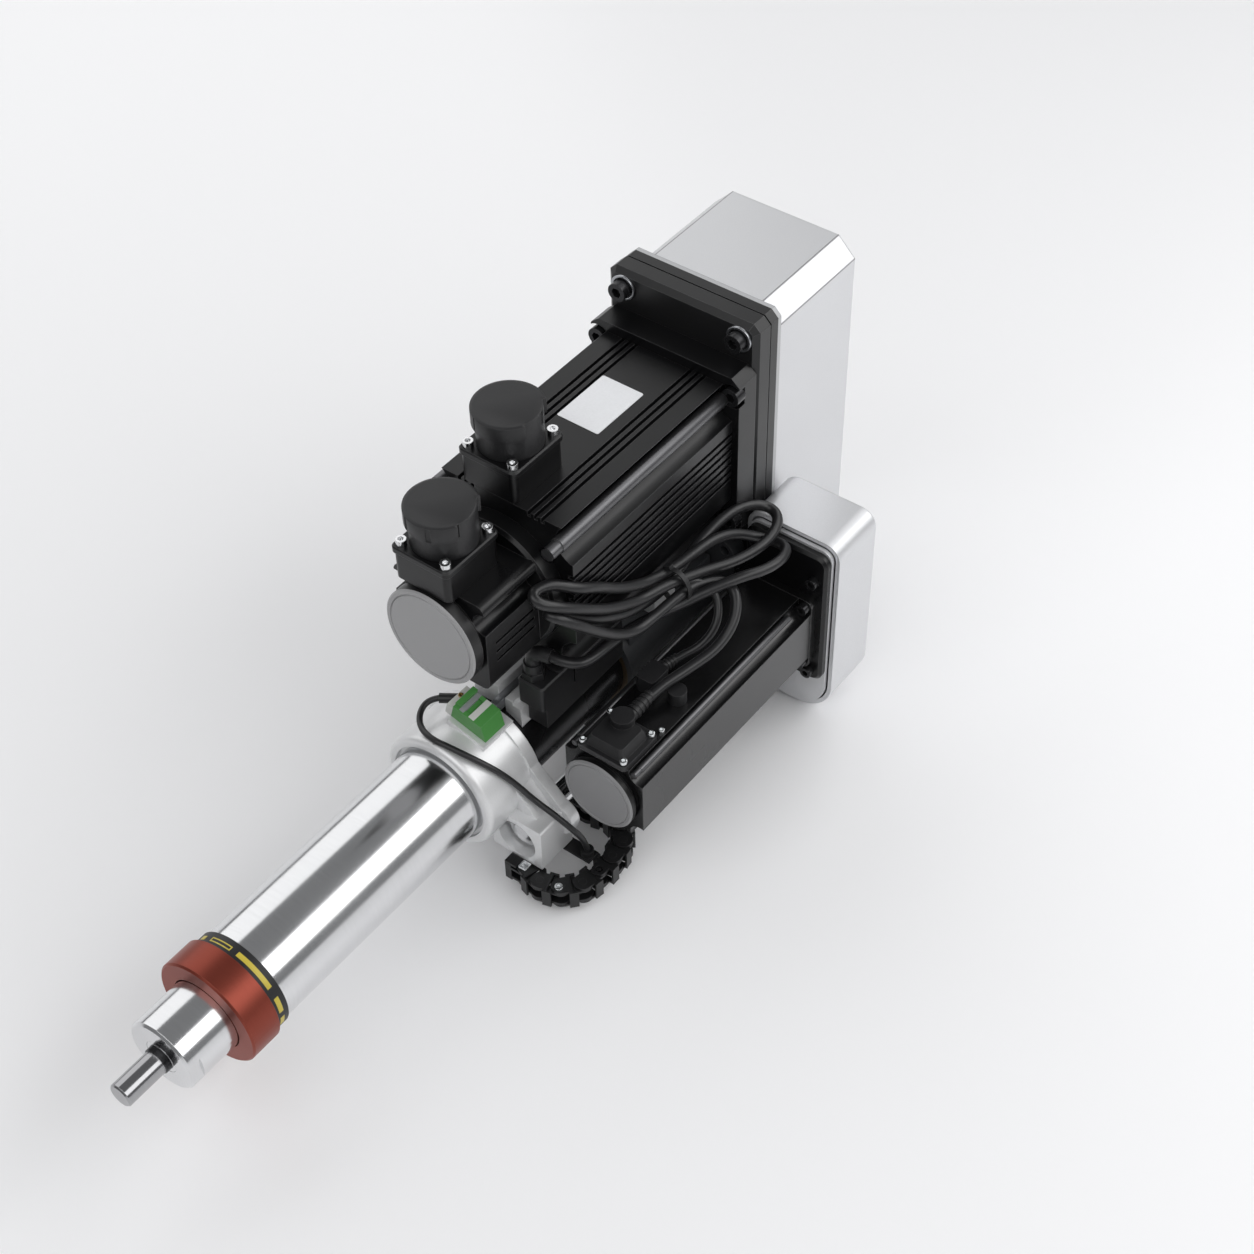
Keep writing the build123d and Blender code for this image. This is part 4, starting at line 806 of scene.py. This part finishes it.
def model_socket_cap(name, middle, foot):
    """Round dust cap: a smooth barrel under a lip that is cut away on one side."""
    nothing_selected()
    bpy.ops.mesh.primitive_cylinder_add(vertices=72, radius=barrel_radius, depth=cap_height,
                                        location=(*middle, foot + cap_height / 2))
    cap = begin(name)
    lip_foot = foot + cap_height * lip_share
    bpy.ops.mesh.bisect(plane_co=(*middle, lip_foot), plane_no=(0, 0, 1))

    def around(centre):
        return math.degrees(math.atan2(centre.y - middle[1], centre.x - middle[0]))

    def upper_side(centre, normal):
        return abs(normal.z) < 0.5 and centre.z > lip_foot

    def lip(centre, normal):
        return upper_side(centre, normal) and not lip_gap[0] < around(centre) < lip_gap[1]

    def grip(centre, normal):
        return upper_side(centre, normal) and round(around(centre) / grip_pitch) % grip_every == 4

    pick_faces(cap, lip)
    push_faces(lip_depth)
    pick_faces(cap, lambda centre, normal: normal.z > 0.9 and centre.z > foot + cap_height - touch)
    bpy.ops.mesh.inset(thickness=cap_rim)
    bpy.ops.transform.translate(value=(0, 0, cap_crown))
    pick_faces(cap, grip)
    bpy.ops.mesh.inset(thickness=grip_border)
    push_faces(-grip_depth)
    apply_modifier(cap, "BEVEL", width=cap_edge, segments=2, angle_limit=sharp_angle)
    finish_piece(cap, "unit_frame", own_finishes["socket_caps"])
    return cap


def add_socket_caps():
    """Dust caps on both sockets of the big motor, in place of their plain solids."""
    low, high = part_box("socket_caps")
    rear = (low[0] + lip_radius, high[1] - lip_radius)
    front = (low[0] + lip_radius + front_cap_shift, low[1] + lip_radius)
    rear_cap = model_socket_cap("socket_cap_rear", rear, high[2] - cap_height)
    model_socket_cap("socket_cap_front", front, low[2])
    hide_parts("socket_caps")


def add_terminal_lid():
    """Lid of the terminal box, with a raised middle and a seam across it."""
    low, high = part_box("terminal_box")
    wide = high[0] - low[0]
    long = high[1] - low[1]
    nothing_selected()
    bpy.ops.mesh.primitive_cube_add(size=1, location=((low[0] + high[0]) / 2,
                                                     (low[1] + high[1]) / 2 + lid_shift,
                                                     high[2] + lid_rise))
    bpy.context.object.scale = (wide - lid_margin[0], long - lid_margin[1], lid_thickness)
    lid = begin("terminal_lid")
    pick_edges(lid, lambda a, b: abs(a.z - b.z) > lid_thickness / 2)
    bpy.ops.mesh.bevel(offset=lid_corner, segments=4)
    seam = low[1] + long * seam_share
    for shift in (0.0, seam_size):
        bpy.ops.mesh.select_all(action="SELECT")
        bpy.ops.mesh.bisect(plane_co=(0, seam + shift, 0), plane_no=(0, 1, 0))
    pick_faces(lid, lambda centre, normal: normal.z > 0.9 and seam < centre.y < seam + seam_size)
    lift_faces(-seam_size)
    pick_faces(lid, lambda centre, normal: normal.z > 0.9 and centre.z > high[2] + 0.001)
    bpy.ops.mesh.inset(thickness=lid_border)
    bpy.ops.transform.translate(value=(0, 0, lid_crown))
    finish_piece(lid, "unit_frame", finishes["black_plastic"])


def add_strain_relief(name, start, way, wide, narrow, length):
    """Tapered ribbed sleeve where a cable leaves its housing."""
    foot = Vector(start)
    direction = Vector(way).normalized()
    bands = 2 * relief_ribs + 1
    nothing_selected()
    bpy.ops.mesh.primitive_cone_add(vertices=40, radius1=wide, radius2=narrow, depth=length,
                                    location=foot + direction * (length / 2),
                                    rotation=direction.to_track_quat("Z", "Y").to_euler())
    sleeve = begin(name)
    for number in range(1, bands):
        bpy.ops.mesh.select_all(action="SELECT")
        bpy.ops.mesh.bisect(plane_co=foot + direction * (length * number / bands), plane_no=direction)

    def groove(centre, normal):
        step = (centre - foot).dot(direction) / length * bands
        return abs(normal.dot(direction)) < 0.9 and int(step) % 2 == 1

    pick_faces(sleeve, groove)
    push_faces(-relief_groove)
    finish_piece(sleeve, "unit_frame", finishes["black_plastic"])
    return sleeve


def add_cable_tie():
    """Thin strap with its lock round the middle of the looped cable."""
    nothing_selected()
    bpy.ops.mesh.primitive_cylinder_add(vertices=64, radius=tie_radius, depth=tie_width,
                                        end_fill_type="NOTHING", location=tie_middle, rotation=along_y)
    bpy.context.object.scale = (1.0, tie_stretch, 1.0)
    tie = begin("cable_tie")
    apply_modifier(tie, "SOLIDIFY", thickness=tie_thickness, offset=1.0)
    pick_faces(tie, lambda centre, normal: normal.x < -0.2 and normal.z > 0.75 and abs(normal.y) < 0.3)
    push_faces(tie_lock)
    finish_piece(tie, "unit_frame", finishes["black_plastic"])


# Camera, floor and light

camera_place = (0.6383, -0.8164, 1.1140)
camera_turn = (44.36, 1.03, 37.06)
camera_lens = 63.16
floor_size = 12.0
floor_drop = 0.0005
barrel_middle = (0, 0.1, spindle_z)
wide_box = (2.4, 1.6)
narrow_box = (2.4, 1.0)


def add_camera():
    """Camera at the viewing angle of the photograph."""
    data = bpy.data.cameras.new("photo camera")
    data.sensor_width = 36.0
    data.lens = camera_lens
    data.clip_end = 20.0
    camera = bpy.data.objects.new("photo camera", data)
    camera.location = camera_place
    camera.rotation_euler = [math.radians(angle) for angle in camera_turn]
    bpy.context.collection.objects.link(camera)
    bpy.context.scene.camera = camera


def add_floor():
    """Plain pale floor just under the foot."""
    nothing_selected()
    bpy.ops.mesh.primitive_plane_add(size=floor_size, location=(0, 0, -floor_drop))
    floor = bpy.context.object
    floor.name = "floor"
    material = bpy.data.materials.new("pale floor")
    material.use_nodes = True
    shader = material.node_tree.nodes["Principled BSDF"]
    shader.inputs["Base Color"].default_value = (0.96, 0.96, 0.97, 1)
    shader.inputs["Roughness"].default_value = 0.32
    shader.inputs["Specular IOR Level"].default_value = 0.4
    floor.data.materials.append(material)


def add_light(name, place, target, size, radiance):
    """Soft box that gives the same radiance whatever its size."""
    data = bpy.data.lights.new(name, "AREA")
    data.shape = "RECTANGLE"
    data.size = size[0]
    data.size_y = size[1]
    data.energy = radiance * math.pi * size[0] * size[1]
    lamp = bpy.data.objects.new(name, data)
    lamp.location = place
    aim = Vector(target) - Vector(place)
    lamp.rotation_euler = aim.to_track_quat("-Z", "Y").to_euler()
    bpy.context.collection.objects.link(lamp)


def add_lights():
    """Four soft boxes and a faint even light, shown without a film curve."""
    add_light("right soft box", (1.23, 0.35, 1.08), barrel_middle, narrow_box, 1.9)
    add_light("left soft box", (-1.31, 0.35, 0.95), barrel_middle, wide_box, 0.95)
    add_light("front soft box", (0.2, -1.6, 1.7), (0, 0, 0), wide_box, 1.4)
    add_light("rear soft box", (0.6, 2.0, 1.8), (0.2, 0.3, 0), wide_box, 1.45)
    world = bpy.data.worlds.new("studio")
    world.use_nodes = True
    world.node_tree.nodes["Background"].inputs["Color"].default_value = (0.97, 0.98, 1.0, 1)
    world.node_tree.nodes["Background"].inputs["Strength"].default_value = 0.22
    bpy.context.scene.world = world
    bpy.context.scene.view_settings.view_transform = "Standard"


# Cables, with their listed points in millimetres

lead_in = [(86, -108, 121.6), (88, -88, 125.6), (95, -66, 128.6), (102, -43, 132.6), (103, -25, 143.6),
           (95, -13, 154), (84, -12, 157), (76, -24, 160), (73, -38, 161.5)]
low_loop = [(71, -52, 160), (69.5, -66, 158.5), (69, -82, 160), (68, -98, 169), (66, -114, 184),
            (62, -128, 199), (55, -138, 209), (47, -139, 209), (47, -129, 201), (57, -113, 189),
            (60, -96, 178), (60.5, -78, 168), (60.5, -58, 162), (61, -38, 160.5)]
rear_loop = [(59.5, -18, 164.5), (58.5, -1, 168), (59.5, 25, 171), (63, 45, 167), (70, 56, 161.5),
             (79, 55, 160), (86, 45, 160), (89, 26, 160.5), (84, 2, 162), (75, -20, 166),
             (68.5, -38, 168.5)]
high_loop = [(64.5, -54, 170.5), (62.5, -68, 172), (62, -86, 181), (61.5, -103, 191.5), (60, -120, 205),
             (55, -137, 217), (47, -146, 223), (41, -143, 226), (45, -130, 225), (55, -118, 217),
             (57.5, -103, 208), (57.5, -86, 193), (58, -66, 180), (59.5, -50, 174), (60.5, -38, 171)]
side_loop = [(64, -18, 172), (66, 2, 171), (70, 20, 165), (78, 34, 155), (88, 41, 151.5), (98, 38, 154),
             (104, 26, 158), (103, 8, 161), (95, -10, 164), (84, -27, 160), (74, -41, 154)]
tail = [(66, -58, 153), (60, -80, 153.5), (58.5, -100, 154), (57, -117, 154.5), (48, -124, 155),
        (37.5, -125, 155)]
signal_route = [(77, -66, 119.6), (80, -54, 120.6), (89, -42, 125.6), (93, -30, 137.6), (87, -21, 150.6),
                (79, -22, 158), (72, -30, 165), (67, -40, 166)]
sensor_loop = [(-19, -167.2, 119), (-24.5, -171.5, 117.8), (-23.4, -181.5, 115.3), (-16, -189.3, 113.6)]
over_head = [(-3, -193.6), (10, -191.5), (24, -186.5), (35, -179.5), (43, -172)]
to_chain = [(50, -165, 69), (65, -163, 62.6), (75, -160, 54), (80, -154, 41), (80, -151, 28)]


def cable(name, points, diameter, body):
    """A smooth cable along listed points."""
    data = bpy.data.curves.new(name, "CURVE")
    data.dimensions = "3D"
    data.bevel_depth = diameter / 2
    data.bevel_resolution = 5
    data.resolution_u = 10
    data.use_fill_caps = True
    spline = data.splines.new("NURBS")
    spline.points.add(len(points) - 1)
    for point, place in zip(spline.points, points):
        point.co = (*[part / 1000 for part in place], 1.0)
    spline.order_u = 3
    spline.use_endpoint_u = True
    thing = bpy.data.objects.new(name, data)
    bpy.context.collection.objects.link(thing)
    data.materials.append(finishes["cable_sheath"])
    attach(thing, body)
    return thing


def add_feed_cable():
    """The small motor's cable, looped up beside the big motor and down to the terminal box."""
    feed = cable("feed_cable", lead_in + low_loop + rear_loop + high_loop + side_loop + tail,
                 feed_cable_diameter, "unit_frame")
    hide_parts("feed_lead", "cable_hank", "feed_tail")
    boot = add_strain_relief("feed_cable_boot", *feed_relief)


def add_signal_cable():
    """The small motor's thinner cable, which joins the looped one."""
    signal = cable("signal_cable", signal_route, signal_cable_diameter, "unit_frame")
    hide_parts("signal_lead")
    boot = add_strain_relief("signal_cable_boot", *signal_relief)


def add_sensor_cable():
    """The sensor's cable, over the feed head's round front and down to the drag chain's end."""
    climb = [(x, y, spindle_z * 1000 + math.sqrt(head_path_radius ** 2 - x * x)) for x, y in over_head]
    sensor = cable("sensor_cable", sensor_loop + climb + to_chain, sensor_cable_diameter, "feed_carriage")
    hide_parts("sensor_lead")


add_camera()
add_feed_cable()
add_signal_cable()
add_sensor_cable()
add_motor_label()
add_band_marks()
add_feed_motor_screws()
add_corner_rods("motor_rod", "motor_frame", *motor_rods)
add_corner_rods("feed_motor_rod", "feed_motor", *feed_motor_rods)
add_nose_rings()
add_chain_bolts()
add_sensor_screw()
add_plate_washers()
add_socket_caps()
add_terminal_lid()
add_cable_tie()
add_floor()
add_lights()
